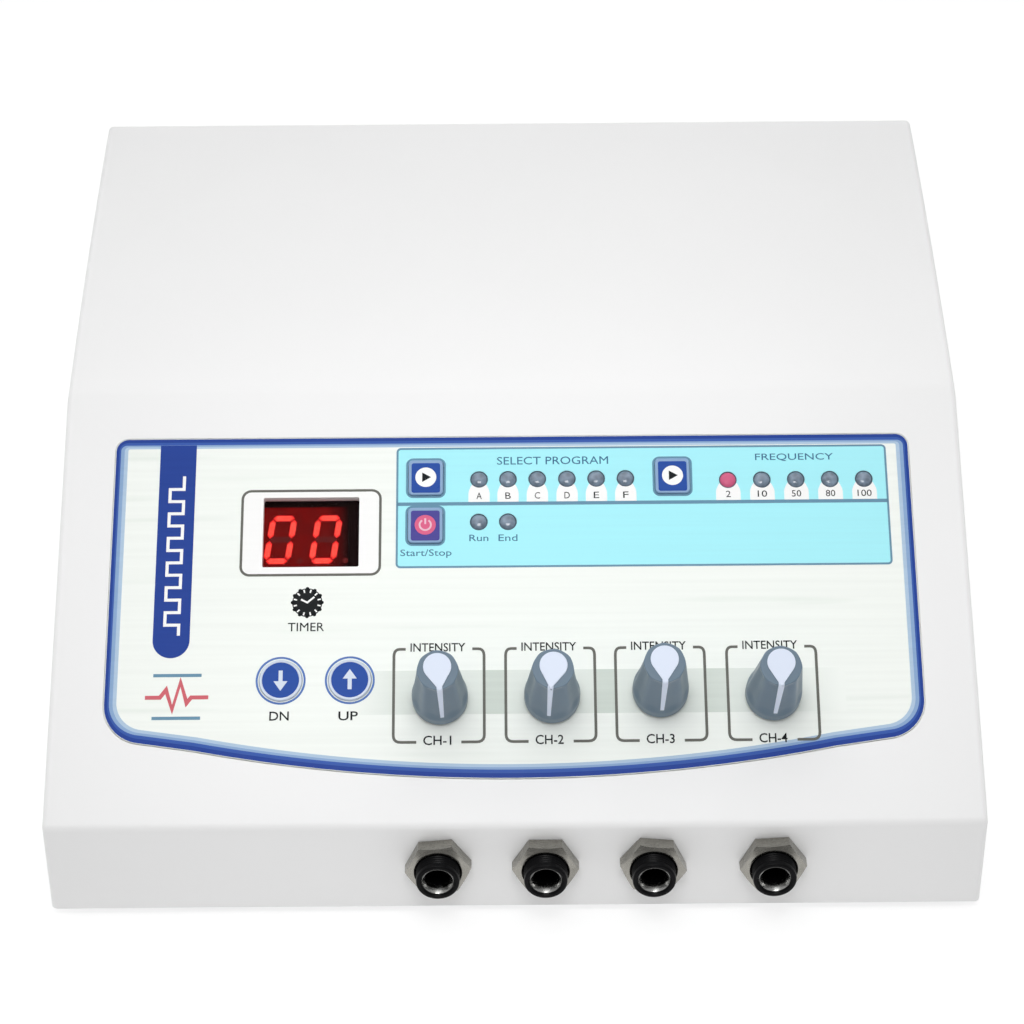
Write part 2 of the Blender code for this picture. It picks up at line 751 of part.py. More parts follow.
def make_pointer(channel, place, lean, materials, panel):
    """White pointer: a teardrop plate in the knob's top with a line that runs down to the skirt."""
    spin = (0.0, 0.0, lean)
    at = (place[0], place[1], 0.0)
    low = KNOB_TOP - 0.6
    high = KNOB_TOP + 0.3
    plate = bmesh.new()
    add_prism(plate, teardrop(0.0), low, high)
    pointer = make_object("knob_pointer_ch" + str(channel), plate, materials["pointer"], panel, at, spin)
    line = bmesh.new()
    proud = 0.3
    deep = 0.8
    outline = [
        (-3.3, low),
        (-3.3, high - 0.05),
        (-knob_radius(KNOB_TOP) - proud, high - 0.05),
        (-knob_radius(LINE_END) - proud, LINE_END),
        (deep - knob_radius(LINE_END), LINE_END),
        (deep - knob_radius(low), low),
    ]
    add_side_prism(line, outline, 0.7)
    weld(pointer, make_object("tool_line_ch" + str(channel), line, None, panel, at, spin))
    return pointer


def make_pot(channel, place, materials, panel):
    """Potentiometer body with its hollow bushing, its turning shaft and its nut."""
    at = (place[0], place[1], 0.0)
    shoulder = -WALL - GAP
    bore = SHAFT_RADIUS + GAP
    profile = [
        (bore, BUSHING_TOP),
        (BUSHING_RADIUS, BUSHING_TOP),
        (BUSHING_RADIUS, shoulder),
        (POT_RADIUS, shoulder),
        (POT_RADIUS, shoulder - POT_DEPTH),
        (0.0, shoulder - POT_DEPTH),
        (0.0, SHAFT_BOTTOM - GAP),
        (bore, SHAFT_BOTTOM - GAP),
    ]
    body = make_object("pot_body_ch" + str(channel), turned_open(profile, 20), materials["pot"], panel, at)
    shade_round(body)
    lugs = bmesh.new()
    for i in (-1, 0, 1):
        lug = rectangle(1.6, 6.0, (place[0] + 5.0 * i, place[1] - POT_RADIUS - 1.5))
        add_prism(lugs, lug, shoulder - 4.0, shoulder - 3.0)
    weld(body, make_object("tool_lugs_ch" + str(channel), lugs, parent=panel))

    shaft_profile = [
        (0.0, SHAFT_TOP),
        (SHAFT_RADIUS - 0.4, SHAFT_TOP),
        (SHAFT_RADIUS, SHAFT_TOP - 0.4),
        (SHAFT_RADIUS, SHAFT_BOTTOM),
        (0.0, SHAFT_BOTTOM),
    ]
    name = "pot_shaft_ch" + str(channel)
    shaft = make_object(name, turned(shaft_profile, 16), materials["steel"], panel, at)
    shade_round(shaft)

    low = LABEL_PROUD + GAP
    nut = make_nut(POT_NUT_FLATS, BUSHING_RADIUS + GAP, low, low + POT_NUT_THICK, 16)
    make_object("pot_nut_ch" + str(channel), nut, materials["steel"], panel, at)


def turned_open(profile, sides):
    """A turned body whose closed bore ends on the axis: outer skin and bore share their first ring."""
    shape = bmesh.new()
    rings = []
    for radius, height in profile:
        if radius == 0.0:
            rings.append([shape.verts.new((0.0, 0.0, height))])
            continue
        rings.append([shape.verts.new((x, y, height)) for x, y in circle(radius, sides)])
    for upper, lower in zip(rings, rings[1:]):
        if len(upper) > 1 or len(lower) > 1:
            join_rings(shape, upper, lower, sides)
    join_rings(shape, rings[-1], rings[0], sides)
    return shape


def make_nut(flats, bore, low, high, sides, chamfer=0.0):
    """Hexagonal nut: the six sides and the round bore share one ring of points at each level."""
    shape = bmesh.new()
    levels = []
    corner = flats / 2 / math.cos(math.pi / 6)
    steps = [(low, 0.0), (high - chamfer, 0.0), (high, chamfer)] if chamfer else [(low, 0.0), (high, 0.0)]
    for height, cut in steps:
        outline = circle(corner - cut, 6)
        levels.append([shape.verts.new((x, y, height)) for x, y in outline])
    inner = [[shape.verts.new((x, y, height)) for x, y in circle(bore, sides)] for height in (low, high)]
    for lower, upper in zip(levels, levels[1:]):
        for i in range(6):
            j = (i + 1) % 6
            shape.faces.new((lower[i], lower[j], upper[j], upper[i]))
    for i in range(sides):
        j = (i + 1) % sides
        shape.faces.new((inner[0][i], inner[1][i], inner[1][j], inner[0][j]))
    for outer_ring, inner_ring in ((levels[0], inner[0]), (levels[-1], inner[1])):
        edges = ring_edges(shape, outer_ring) + ring_edges(shape, inner_ring)
        bmesh.ops.triangle_fill(shape, edges=edges, use_beauty=True)
    return shape


def ring_edges(shape, ring):
    return [shape.edges.get((ring[i], ring[(i + 1) % len(ring)])) for i in range(len(ring))]


def make_jack(channel, x, nut_turn, materials, front):
    """Threaded jack: black body with a bored bushing, bright ferrule and hexagonal nut."""
    at = (x, JACK_UP, 0.0)
    shape = bmesh.new()
    add_prism(shape, rectangle(JACK_BOX[0], JACK_BOX[1]), -WALL - GAP - JACK_BOX[2], -WALL - GAP)
    body = make_object("jack_body_ch" + str(channel), shape, materials["black"], front, at)
    bushing_profile = [
        (0.0, JACK_PROUD),
        (JACK_RADIUS - 0.3, JACK_PROUD),
        (JACK_RADIUS, JACK_PROUD - 0.3),
        (JACK_RADIUS, -WALL - GAP - 1.0),
        (0.0, -WALL - GAP - 1.0),
    ]
    bushing = make_object("tool_bushing_ch" + str(channel), turned(bushing_profile, 20), None, front, at)
    weld(body, bushing)
    seat = JACK_PROUD - FERRULE_DEPTH
    bore_profile = [
        (0.0, JACK_PROUD + 1.0),
        (FERRULE_RADIUS + GAP, JACK_PROUD + 1.0),
        (FERRULE_RADIUS + GAP, seat - GAP),
        (JACK_BORE, seat - GAP),
        (JACK_BORE, JACK_PROUD - JACK_BORE_DEPTH),
        (0.0, JACK_PROUD - JACK_BORE_DEPTH),
    ]
    bore = make_object("tool_bore_ch" + str(channel), turned(bore_profile, 20), None, front, at)
    carve(body, bore)

    ring_profile = [
        (JACK_BORE, JACK_PROUD - FERRULE_SINK),
        (FERRULE_RADIUS - 0.2, JACK_PROUD),
        (FERRULE_RADIUS, JACK_PROUD),
        (FERRULE_RADIUS, seat),
        (JACK_BORE, seat),
    ]
    name = "jack_ferrule_ch" + str(channel)
    ring = make_object(name, turned(ring_profile, 20), materials["chrome"], front, at)
    shade_round(ring)

    nut = make_nut(JACK_NUT_FLATS, JACK_RADIUS + GAP, GAP, GAP + JACK_NUT_THICK, 18, 0.5)
    make_object("jack_nut_ch" + str(channel), nut, materials["steel"], front, at, (0.0, 0.0, nut_turn))


def socket_outline(grow):
    """Mouth of the mains socket: a rectangle with its two upper corners cut."""
    width = SOCKET_SIZE[0] / 2 + grow
    height = SOCKET_SIZE[1] / 2 + grow
    cut = 5.0
    return [
        (-width, -height),
        (width, -height),
        (width, height - cut),
        (width - cut, height),
        (cut - width, height),
        (-width, height - cut),
    ]


def make_inlet(materials, rear):
    face = GAP + INLET_FLANGE[2]
    shape = bmesh.new()
    add_prism(shape, rounded_rectangle(INLET_FLANGE[0], INLET_FLANGE[1], 2.0), GAP, face)
    inlet = make_object("mains_inlet", shape, materials["black"], rear)
    body = bmesh.new()
    add_prism(body, rectangle(INLET_BODY[0], INLET_BODY[1]), GAP - INLET_BODY[2], face - 0.8)
    weld(inlet, make_object("tool_inlet_body", body, parent=rear))

    pockets = bmesh.new()
    mouth = [(x, y - SOCKET_DOWN) for x, y in socket_outline(0.0)]
    add_prism(pockets, mouth, face - SOCKET_DEPTH, face + 1.0)
    drawer = rectangle(DRAWER_SIZE[0] + 2 * GAP, DRAWER_SIZE[1] + 2 * GAP, (0.0, DRAWER_UP))
    add_prism(pockets, drawer, face - DRAWER_DEPTH - GAP, face + 1.0)
    rocker = rectangle(ROCKER_SIZE[0] + 1.0, ROCKER_SIZE[1] + 2 * GAP, (0.0, ROCKER_UP))
    add_prism(pockets, rocker, face - 9.0, face + 1.0)
    carve(inlet, make_object("tool_inlet_pockets", pockets, parent=rear))

    blades = bmesh.new()
    for x, y in ((-7.0, -2.0), (7.0, -2.0), (0.0, 2.0)):
        blade = rectangle(2.0, 4.0, (x, y - SOCKET_DOWN))
        add_prism(blades, blade, face - SOCKET_DEPTH - 1.0, face - 4.0)
    weld(inlet, make_object("tool_blades", blades, parent=rear))
    return inlet


def make_fuse_drawer(materials, rear):
    face = GAP + INLET_FLANGE[2]
    shape = bmesh.new()
    add_prism(shape, rectangle(DRAWER_SIZE[0], DRAWER_SIZE[1]), -DRAWER_DEPTH, 0.6)
    place = (0.0, DRAWER_UP, face)
    drawer = make_object("fuse_drawer", shape, materials["black"], rear, place)
    grip = bmesh.new()
    add_prism(grip, rectangle(10.0, 2.0, (0.0, -2.4)), -1.0, 2.0)
    carve(drawer, make_object("tool_fuse_grip", grip, None, rear, place))
    return drawer


def make_rocker(materials, rear):
    """Rocker with its pivot at its origin, tipped to its on position."""
    face = GAP + INLET_FLANGE[2]
    half = ROCKER_SIZE[0] / 2 - 0.9
    pivot = ROCKER_PIVOT_DEPTH
    outline = [
        (-half, pivot + 1.2),
        (-half, pivot - 3.0),
        (-3.0, pivot - 7.0),
        (3.0, pivot - 7.0),
        (half, pivot - 3.0),
        (half, pivot + 1.2),
        (0.0, pivot + 0.2),
    ]
    shape = bmesh.new()
    add_prism(shape, outline, -ROCKER_SIZE[1] / 2, ROCKER_SIZE[1] / 2)
    bmesh.ops.rotate(shape, verts=shape.verts, matrix=tilt_matrix())
    place = (0.0, ROCKER_UP, face - ROCKER_PIVOT_DEPTH)
    return make_object("power_rocker", shape, materials["rocker"], rear, place)


def tilt_matrix():
    """Stands the rocker's outline on edge across the flange, then tips it to its on position."""
    stand = Matrix.Rotation(math.pi / 2, 3, "X")
    tip = Matrix.Rotation(ROCKER_TILT, 3, "Y")
    return tip @ stand


def make_feet(materials):
    top = CASE_BOTTOM_Z + FOOT_POCKET - GAP
    profile = [
        (0.0, top),
        (FOOT_RADIUS, top),
        (FOOT_RADIUS, 1.0),
        (FOOT_RADIUS - 1.0, 0.0),
        (0.0, 0.0),
    ]
    for number, (x, y) in enumerate(FOOT_PLACES, 1):
        place = (x, y + CASE_FRONT_Y, 0.0)
        foot = make_object("foot_" + str(number), turned(profile, 16), materials["rubber"], None, place)
        shade_round(foot)


def make_screws(materials):
    head_low = 0.2
    profile = [
        (0.0, head_low + SCREW_HEAD_THICK + SCREW_LENGTH - 2.0),
        (SCREW_RADIUS - 0.6, head_low + SCREW_HEAD_THICK + SCREW_LENGTH - 2.0),
        (SCREW_RADIUS, head_low + SCREW_HEAD_THICK + SCREW_LENGTH - 3.0),
        (SCREW_RADIUS, head_low + SCREW_HEAD_THICK - 0.2),
        (SCREW_HEAD_RADIUS, head_low + SCREW_HEAD_THICK - 0.2),
        (SCREW_HEAD_RADIUS, head_low),
        (0.0, head_low),
    ]
    for number, (x, y) in enumerate(BOSS_PLACES, 1):
        place = (x, y + CASE_FRONT_Y, CASE_BOTTOM_Z)
        name = "case_screw_" + str(number)
        screw = make_object(name, turned(profile, 12), materials["screw"], None, place)
        shade_round(screw)
        recess = bmesh.new()
        add_prism(recess, cross_outline(3.6, 0.9), -1.0, 0.9)
        carve(screw, make_object("tool_recess_" + str(number), recess, None, None, place))


def cross_outline(length, width):
    """Outline of a cross recess with arms of one length and width."""
    a, b = length / 2, width / 2
    quarter = [(a, -b), (a, b), (b, b)]
    points = []
    for turn in range(4):
        cosine, sine = (1, 0, -1, 0)[turn], (0, 1, 0, -1)[turn]
        for x, y in quarter:
            points.append((x * cosine - y * sine, x * sine + y * cosine))
    return points


def make_main_board(materials):
    left, front, right, back = MAIN_BOARD
    low = CASE_BOTTOM_Z + TRAY_THICK + MAIN_BOARD_POST + GAP
    middle = ((left + right) / 2, (front + back) / 2 + CASE_FRONT_Y)
    shape = bmesh.new()
    add_prism(shape, rectangle(right - left, back - front, middle), low, low + BOARD_THICK)
    board = make_object("main_board", shape, materials["board"])
    parts = bmesh.new()
    sizes = [
        (-50.0, 60.0, 14.0, 14.0, 18.0),
        (-30.0, 62.0, 14.0, 14.0, 18.0),
        (-48.0, 100.0, 22.0, 30.0, 6.0),
        (0.0, 80.0, 40.0, 12.0, 7.0),
        (0.0, 110.0, 40.0, 12.0, 7.0),
        (0.0, 150.0, 30.0, 10.0, 12.0),
        (50.0, 70.0, 12.0, 30.0, 14.0),
    ]
    for x, y, width, depth, height in sizes:
        outline = rectangle(width, depth, (x, y + CASE_FRONT_Y))
        add_prism(parts, outline, low + 0.5, low + BOARD_THICK + height)
    weld(board, make_object("tool_board_parts", parts))
    return board


def make_transformer(materials):
    """Laminated core lying on the tray, with its winding passing through it."""
    x, y = TRANSFORMER_PLACE
    low = CASE_BOTTOM_Z + TRAY_THICK + GAP
    core = bmesh.new()
    add_prism(core, rectangle(22.0, 54.0, (x + 8.0, y + CASE_FRONT_Y)), low + 3.0, low + 48.0)
    item = make_object("transformer", core, materials["core"])
    winding = bmesh.new()
    outline = rounded_rectangle(36.0, 34.0, 4.0, (x + 8.0, y + CASE_FRONT_Y))
    add_prism(winding, outline, low + 11.0, low + 40.0)
    weld(item, make_object("tool_winding", winding))
    bracket = bmesh.new()
    add_prism(bracket, rectangle(22.0, 70.0, (x + 8.0, y + CASE_FRONT_Y)), low, low + 3.5)
    weld(item, make_object("tool_bracket", bracket))
    return item


def panel_point(up, out):
    """A point of the sloping panel as (y, z) in the case's frame: up the slope, and out of it."""
    y, z = front_top()
    y += up * math.cos(PANEL_SLOPE) - out * math.sin(PANEL_SLOPE)
    z += up * math.sin(PANEL_SLOPE) + out * math.cos(PANEL_SLOPE)
    return (y + CASE_FRONT_Y, z)


def make_ribbon(materials):
    """Flat cable that hangs in a curve from the display board to the main board."""
    board_top = CASE_BOTTOM_Z + TRAY_THICK + MAIN_BOARD_POST + GAP + BOARD_THICK
    start_y, start_z = panel_point(75.0, -BOARD_DEPTH - BOARD_THICK - GAP)
    end_y = start_y + 12.0
    end_z = board_top + 7.0 + GAP
    steps = 8
    middle = []
    for i in range(steps + 1):
        part = i / steps
        swing = 14.0 * math.sin(math.pi * part)
        middle.append((start_y + (end_y - start_y) * part + swing, start_z + (end_z - start_z) * part))
    other = offset_path(middle, 1.0)
    shape = bmesh.new()
    add_side_prism(shape, middle + other[::-1], 13.0)
    return make_object("ribbon_cable", shape, materials["ribbon"])


def build():
    clear_scene()
    materials = make_materials()
    top_y, top_z = front_top()
    panel = make_frame("panel_frame", (0.0, top_y + CASE_FRONT_Y, top_z), (PANEL_SLOPE, 0.0, 0.0))
    front_turn = (math.pi / 2 - FRONT_LEAN, 0.0, 0.0)
    front = make_frame("front_frame", (0.0, CASE_FRONT_Y, CASE_BOTTOM_Z), front_turn)
    rear_place = (INLET_PLACE[0], back_top()[0] + CASE_FRONT_Y, INLET_PLACE[1])
    rear = make_frame("rear_frame", rear_place, (math.pi / 2, 0.0, math.pi))

    make_top_cover(materials, panel, front, rear)
    make_base_tray(materials)
    make_front_label(materials, panel)
    make_display(materials, panel)
    make_display_board(materials, panel)
    for name, place in ROUND_KEYS.items():
        make_round_key(name, place, materials, panel)
    for name, place in SQUARE_KEYS.items():
        make_square_key(name, place, materials, panel)
    for name, places in LAMP_ROWS.items():
        make_lamp_row(name, places, materials, panel)
    for channel, (place, lean) in enumerate(zip(KNOB_PLACES, KNOB_LEANS), 1):
        make_knob(channel, place, lean, materials, panel)
        make_pointer(channel, place, lean, materials, panel)
        make_pot(channel, place, materials, panel)
    for channel, (x, nut_turn) in enumerate(zip(JACK_PLACES, JACK_NUT_TURNS), 1):
        make_jack(channel, x, nut_turn, materials, front)
    make_inlet(materials, rear)
    make_fuse_drawer(materials, rear)
    make_rocker(materials, rear)
    make_feet(materials)
    make_screws(materials)
    make_main_board(materials)
    make_transformer(materials)
    make_ribbon(materials)


build()
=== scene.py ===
"""Looks for the four-channel desktop stimulator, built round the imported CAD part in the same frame.

Shapes are drawn in millimetres in four working frames, and each mesh is then put in metres in the CAD's own:
  PANEL   x to the right, y up the slope from the front top edge, z out of the sloping panel
  FRONT   x to the right, y up the front face from its bottom edge, z out of it
  REAR    x towards the case's left, y up, z out of the back, about the middle of the mains inlet
  GROUND  the CAD's own frame
"""

from math import acos, asin, cos, hypot, pi, radians, sin, tan

import bmesh
import bpy
from mathutils import Euler, Matrix, Vector


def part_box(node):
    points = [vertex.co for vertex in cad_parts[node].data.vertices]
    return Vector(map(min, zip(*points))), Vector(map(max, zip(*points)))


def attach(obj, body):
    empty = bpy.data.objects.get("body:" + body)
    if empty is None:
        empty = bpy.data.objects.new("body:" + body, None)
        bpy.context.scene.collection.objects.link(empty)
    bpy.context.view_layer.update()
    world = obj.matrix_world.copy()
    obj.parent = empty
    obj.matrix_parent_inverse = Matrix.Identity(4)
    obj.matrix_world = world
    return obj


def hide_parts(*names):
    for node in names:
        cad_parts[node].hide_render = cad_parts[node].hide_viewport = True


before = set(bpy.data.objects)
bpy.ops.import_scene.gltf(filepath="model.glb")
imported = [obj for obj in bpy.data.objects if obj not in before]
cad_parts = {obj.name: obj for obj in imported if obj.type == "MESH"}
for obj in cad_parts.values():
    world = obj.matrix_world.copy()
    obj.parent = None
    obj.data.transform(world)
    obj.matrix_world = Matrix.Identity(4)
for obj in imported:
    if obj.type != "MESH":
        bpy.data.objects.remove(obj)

MM = 0.001
CASE = "case"

# Case, as in the CAD
CASE_WIDTH = 250.0
CASE_BOTTOM_Z = 3.2
CASE_FRONT_Y = -119.3
SIDE_DRAFT = radians(0.3)
FRONT_FACE = 27.9
FRONT_LEAN = radians(10.0)
PANEL_LENGTH = 123.7
PANEL_SLOPE = radians(24.7)
TOP_LENGTH = 121.3
TOP_SLOPE = radians(3.1)
TOP_CROWN = 1.8
CROWN_STEPS = 28
WALL = 2.5
EDGE_ROUND = 1.6
TRIM_DEPTH = 6.0
GAP = 0.3
HOLE_GAP = 0.12

# Label and what stands in it
LABEL_HALF_WIDTH = 110.0
LABEL_TOP = 111.2
LABEL_SIDE_BOTTOM = 25.1
LABEL_LOW = 12.9
LABEL_TOP_RADIUS = 3.5
LABEL_BOTTOM_RADIUS = 11.0
LABEL_POCKET = 0.6
LABEL_THICK = 0.5
LABEL_PROUD = 0.2
PRINT_THICK = 0.025
PRINT_SUNK = 0.02

WINDOW_CENTRE = (-55.4, 83.2)
WINDOW_SIZE = (26.4, 20.4)
MODULE_SIZE = (25.0, 19.0, 7.7)
MODULE_TOP = -3.2
DIGIT_SIZE = (7.6, 14.3)
DIGIT_SLANT = radians(8.0)

ROUND_KEYS = {"key_down": (-62.7, 40.5), "key_up": (-44.1, 40.5)}
SQUARE_KEYS = {
    "key_program": (-23.9, 98.9),
    "key_frequency": (44.3, 98.9),
    "key_start_stop": (-24.0, 84.8),
}
KEY_BODIES = {
    "key_down": "down_key",
    "key_up": "up_key",
    "key_program": "program_key",
    "key_frequency": "frequency_key",
    "key_start_stop": "start_stop_key",
}
ROUND_KEY_RADIUS = 5.8
SQUARE_KEY_SIZE = (9.6, 10.4)
SQUARE_KEY_CORNER = 1.3
KEY_TOP = 0.9

LAMP_RADIUS = 2.35
LAMP_TOP = 0.8
LAMP_ROWS = {
    "program_leds": [(-9.2, 98.4), (-1.2, 98.4), (6.9, 98.4), (15.1, 98.4), (23.2, 98.4), (31.3, 98.4)],
    "frequency_leds": [(59.6, 97.7), (69.0, 97.7), (78.4, 97.7), (87.8, 97.7), (97.2, 97.7)],
    "status_leds": [(-9.3, 85.8), (-1.3, 85.8)],
}
PROGRAM_CAPTIONS = ["A", "B", "C", "D", "E", "F"]
FREQUENCY_CAPTIONS = ["2", "10", "50", "80", "100"]
BOARD_DEPTH = 11.3

# Knobs
KNOB_PLACES = [(-19.8, 35.05), (10.2, 35.2), (39.2, 36.6), (69.4, 35.5)]
KNOB_LEANS = [radians(6.0), radians(-8.0), 0.0, radians(-2.0)]
KNOB_BASE_RADIUS = 7.5
KNOB_TOP_RADIUS = 5.5
KNOB_BOTTOM = 1.0
KNOB_TOP = 25.5
SKIRT_TOP = 4.4
FLUTES = 8
FLUTE_DEPTH = 0.6
LINE_END = 7.2
BUSHING_RADIUS = 3.5

# Jacks
JACK_PLACES = [-20.5, 8.0, 36.6, 68.4]
JACK_UP = 15.6
JACK_NUT_TURNS = [radians(5.0), 0.0, radians(-6.0), radians(4.0)]
JACK_RADIUS = 5.8
JACK_PROUD = 8.5
JACK_BORE = 3.5
JACK_BORE_DEPTH = 26.0
JACK_BOX = (15.0, 15.0, 24.0)
JACK_NUT_FLATS = 15.4
JACK_NUT_THICK = 4.0
FERRULE_RADIUS = 4.5
FERRULE_DEPTH = 3.0

# Rear inlet
INLET_PLACE = (-70.0, 44.0)
INLET_FLANGE = (50.0, 58.0, 2.0)
INLET_BODY = (46.0, 52.0, 26.0)
SOCKET_SIZE = (24.4, 16.6)
SOCKET_DEPTH = 16.0
SOCKET_DOWN = 13.5
DRAWER_SIZE = (24.0, 8.0)
DRAWER_DEPTH = 20.0
DRAWER_UP = 3.4
ROCKER_SIZE = (19.0, 8.6)
ROCKER_UP = 18.0
ROCKER_TILT = radians(9.0)
ROCKER_PIVOT_DEPTH = 3.5

# Underside
TRAY_THICK = 2.5
SCREW_PLACES = [(-112.0, 15.0), (112.0, 15.0), (-112.0, 226.0), (112.0, 226.0)]
SCREW_RADIUS = 1.5
SCREW_HEAD_RADIUS = 2.9
SCREW_HEAD_THICK = 1.2
SCREW_LENGTH = 12.0
FOOT_PLACES = [(-98.0, 22.0), (98.0, 22.0), (-98.0, 216.0), (98.0, 216.0)]
FOOT_RADIUS = 7.0
FOOT_POCKET = 1.0

# Shading, the pointers, the printed layout, the undersides of flanges and the studio
SHADE_ANGLE = 32.0
POINTER_RADIUS = 3.65
POINTER_CENTRE = 0.85
POINTER_TIP = -5.8
STRIP = (-31.8, 103.5, 72.7, 107.7)
STRIP_DIVIDER = 91.2
DISPLAY_FRAME = (38.0, 24.7, 2.4, (-55.4, 83.05))
KNOB_FRAMES = [(-32.3, -8.0), (-2.2, 21.8), (27.4, 51.4), (57.4, 81.5)]
FRAME_TOP = 49.1
FRAME_LOW = 23.0
TAB = (-97.6, -87.6, 52.1, 109.25)
CLOCK = (-56.0, 62.7)
FLANGE_TOP = -WALL - GAP
STEM_END = -BOARD_DEPTH + 4.3
INLET_FACE = GAP + INLET_FLANGE[2]
CAMERA_PLACE = (-0.15, -564.8, 580.5)
CAMERA_PITCH = radians(44.0)
CAMERA_ROLL = -0.00794
CAMERA_LENS = 94.21875
MATERIALS = {}


# Case profile, as (y, z) with y measured from the front bottom edge


def up_slope(start, length, slope, rise=0.0):
    """The point a length up a slope from another, and lifted square to the slope."""
    y = start[0] + length * cos(slope) - rise * sin(slope)
    z = start[1] + length * sin(slope) + rise * cos(slope)
    return (y, z)


FRONT_TOP = (FRONT_FACE * sin(FRONT_LEAN), CASE_BOTTOM_Z + FRONT_FACE * cos(FRONT_LEAN))
CREASE = up_slope(FRONT_TOP, PANEL_LENGTH, PANEL_SLOPE)
BACK_TOP = up_slope(CREASE, TOP_LENGTH, TOP_SLOPE)


def case_path():
    path = [(0.0, CASE_BOTTOM_Z), FRONT_TOP, CREASE]
    for i in range(1, CROWN_STEPS):
        part = i / CROWN_STEPS
        path.append(up_slope(CREASE, part * TOP_LENGTH, TOP_SLOPE, 4.0 * TOP_CROWN * part * (1.0 - part)))
    return path + [BACK_TOP, (BACK_TOP[0], CASE_BOTTOM_Z)]


def outer_path():
    """The case's outline carried on below its bottom edge, so that rounding leaves that edge square."""
    low = CASE_BOTTOM_Z - TRIM_DEPTH
    return [(-TRIM_DEPTH * tan(FRONT_LEAN), low)] + case_path()[1:-1] + [(BACK_TOP[0], low)]


def offset_path(path, distance):
    """Moves an open path to its right-hand side, with mitred corners."""
    normals = []
    for (y0, z0), (y1, z1) in zip(path, path[1:]):
        length = hypot(y1 - y0, z1 - z0)
        normals.append(((z1 - z0) / length, -(y1 - y0) / length))
    moved = []
    for (y, z), before, after in zip(path, normals[:1] + normals, normals + normals[-1:]):
        scale = distance / (1.0 + before[0] * after[0] + before[1] * after[1])
        moved.append((y + scale * (before[0] + after[0]), z + scale * (before[1] + after[1])))
    return moved


def working_frame(place, turn):
    """Matrix from millimetres in a working frame to metres in the CAD's frame."""
    return Matrix.Translation(Vector(place) * MM) @ Euler(turn).to_matrix().to_4x4() @ Matrix.Scale(MM, 4)


PANEL = working_frame((0.0, FRONT_TOP[0] + CASE_FRONT_Y, FRONT_TOP[1]), (PANEL_SLOPE, 0.0, 0.0))
FRONT = working_frame((0.0, CASE_FRONT_Y, CASE_BOTTOM_Z), (pi / 2 - FRONT_LEAN, 0.0, 0.0))
REAR = working_frame((INLET_PLACE[0], BACK_TOP[0] + CASE_FRONT_Y, INLET_PLACE[1]), (pi / 2, 0.0, pi))
GROUND = Matrix.Scale(MM, 4)


def at(frame_matrix, x, y, z=0.0, spin=0.0):
    """A working frame moved to a point of itself, and spun about its own z."""
    return frame_matrix @ Matrix.Translation((x, y, z)) @ Matrix.Rotation(spin, 4, "Z")


# Outlines


def arc(centre, radius, start, end, steps):
    angles = [start + (end - start) * i / steps for i in range(steps + 1)]
    return [(centre[0] + radius * cos(a), centre[1] + radius * sin(a)) for a in angles]


def circle(radius, sides, centre=(0.0, 0.0)):
    return arc(centre, radius, 0.0, 2.0 * pi, sides)[:-1]


def rounded_rectangle(width, height, radius, centre=(0.0, 0.0), steps=6):
    points = []
    for side_x, side_y, turn in [(1, 1, 0.0), (-1, 1, 0.5), (-1, -1, 1.0), (1, -1, 1.5)]:
        corner = (centre[0] + side_x * (width / 2 - radius), centre[1] + side_y * (height / 2 - radius))
        points += arc(corner, radius, pi * turn, pi * (turn + 0.5), steps)
    return points


def rectangle(width, height, centre=(0.0, 0.0)):
    sides = ((-1, -1), (1, -1), (1, 1), (-1, 1))
    return [(centre[0] + x * width / 2, centre[1] + y * height / 2) for x, y in sides]


def grown(size, grow):
    return (size[0] + 2 * grow, size[1] + 2 * grow)


def rounded_path(points, steps=5):
    """A path whose corners are cut back and curved: each point is (x, y) or (x, y, cut)."""
    path = []
    for i, point in enumerate(points):
        if len(point) == 2 or i == 0 or i == len(points) - 1:
            path.append(point[:2])
            continue
        here = Vector(point[:2])
        before = Vector(points[i - 1][:2]) - here
        after = Vector(points[i + 1][:2]) - here
        start = here + before.normalized() * min(point[2], before.length / 2)
        end = here + after.normalized() * min(point[2], after.length / 2)
        for j in range(steps + 1):
            part = j / steps
            spot = start * (1 - part) ** 2 + here * 2 * part * (1 - part) + end * part**2
            path.append((spot.x, spot.y))
    return path


def label_outline(grow):
    """Outline of the label, grown or shrunk, on the sloping panel."""
    radius = LABEL_TOP_RADIUS + grow
    top_x, top_y = LABEL_HALF_WIDTH + grow - radius, LABEL_TOP + grow - radius
    points = arc((top_x, top_y), radius, 0.0, 0.5 * pi, 8)
    points += arc((-top_x, top_y), radius, 0.5 * pi, pi, 8)
    rise = LABEL_SIDE_BOTTOM - LABEL_LOW
    reach = LABEL_HALF_WIDTH - LABEL_BOTTOM_RADIUS * 0.5
    low_radius = (reach * reach + rise * rise) / (2.0 * rise)
    bend = asin(reach / low_radius)
    middle = (LABEL_BOTTOM_RADIUS - LABEL_HALF_WIDTH, LABEL_SIDE_BOTTOM + LABEL_BOTTOM_RADIUS * 0.82)
    corner = arc(middle, LABEL_BOTTOM_RADIUS + grow, pi, 1.5 * pi - bend * 0.92, 12)
    points += corner
    low = LABEL_LOW - grow + low_radius
    for i in range(1, 40):
        angle = bend * 0.86 * (i / 20 - 1.0)
        points.append(((low_radius + grow) * sin(angle), low - low_radius * cos(angle)))
    return points + [(-x, y) for x, y in reversed(corner)]


def teardrop():
    """Outline of the pointer plate: round at the back, drawn out to a point on the pointer side."""
    tangent = acos(POINTER_RADIUS / (POINTER_CENTRE - POINTER_TIP))
    start = tangent - pi / 2
    points = arc((0.0, POINTER_CENTRE), POINTER_RADIUS, start, start + 2 * (pi - tangent), 36)
    return points + [(0.0, POINTER_TIP)]


# Solids


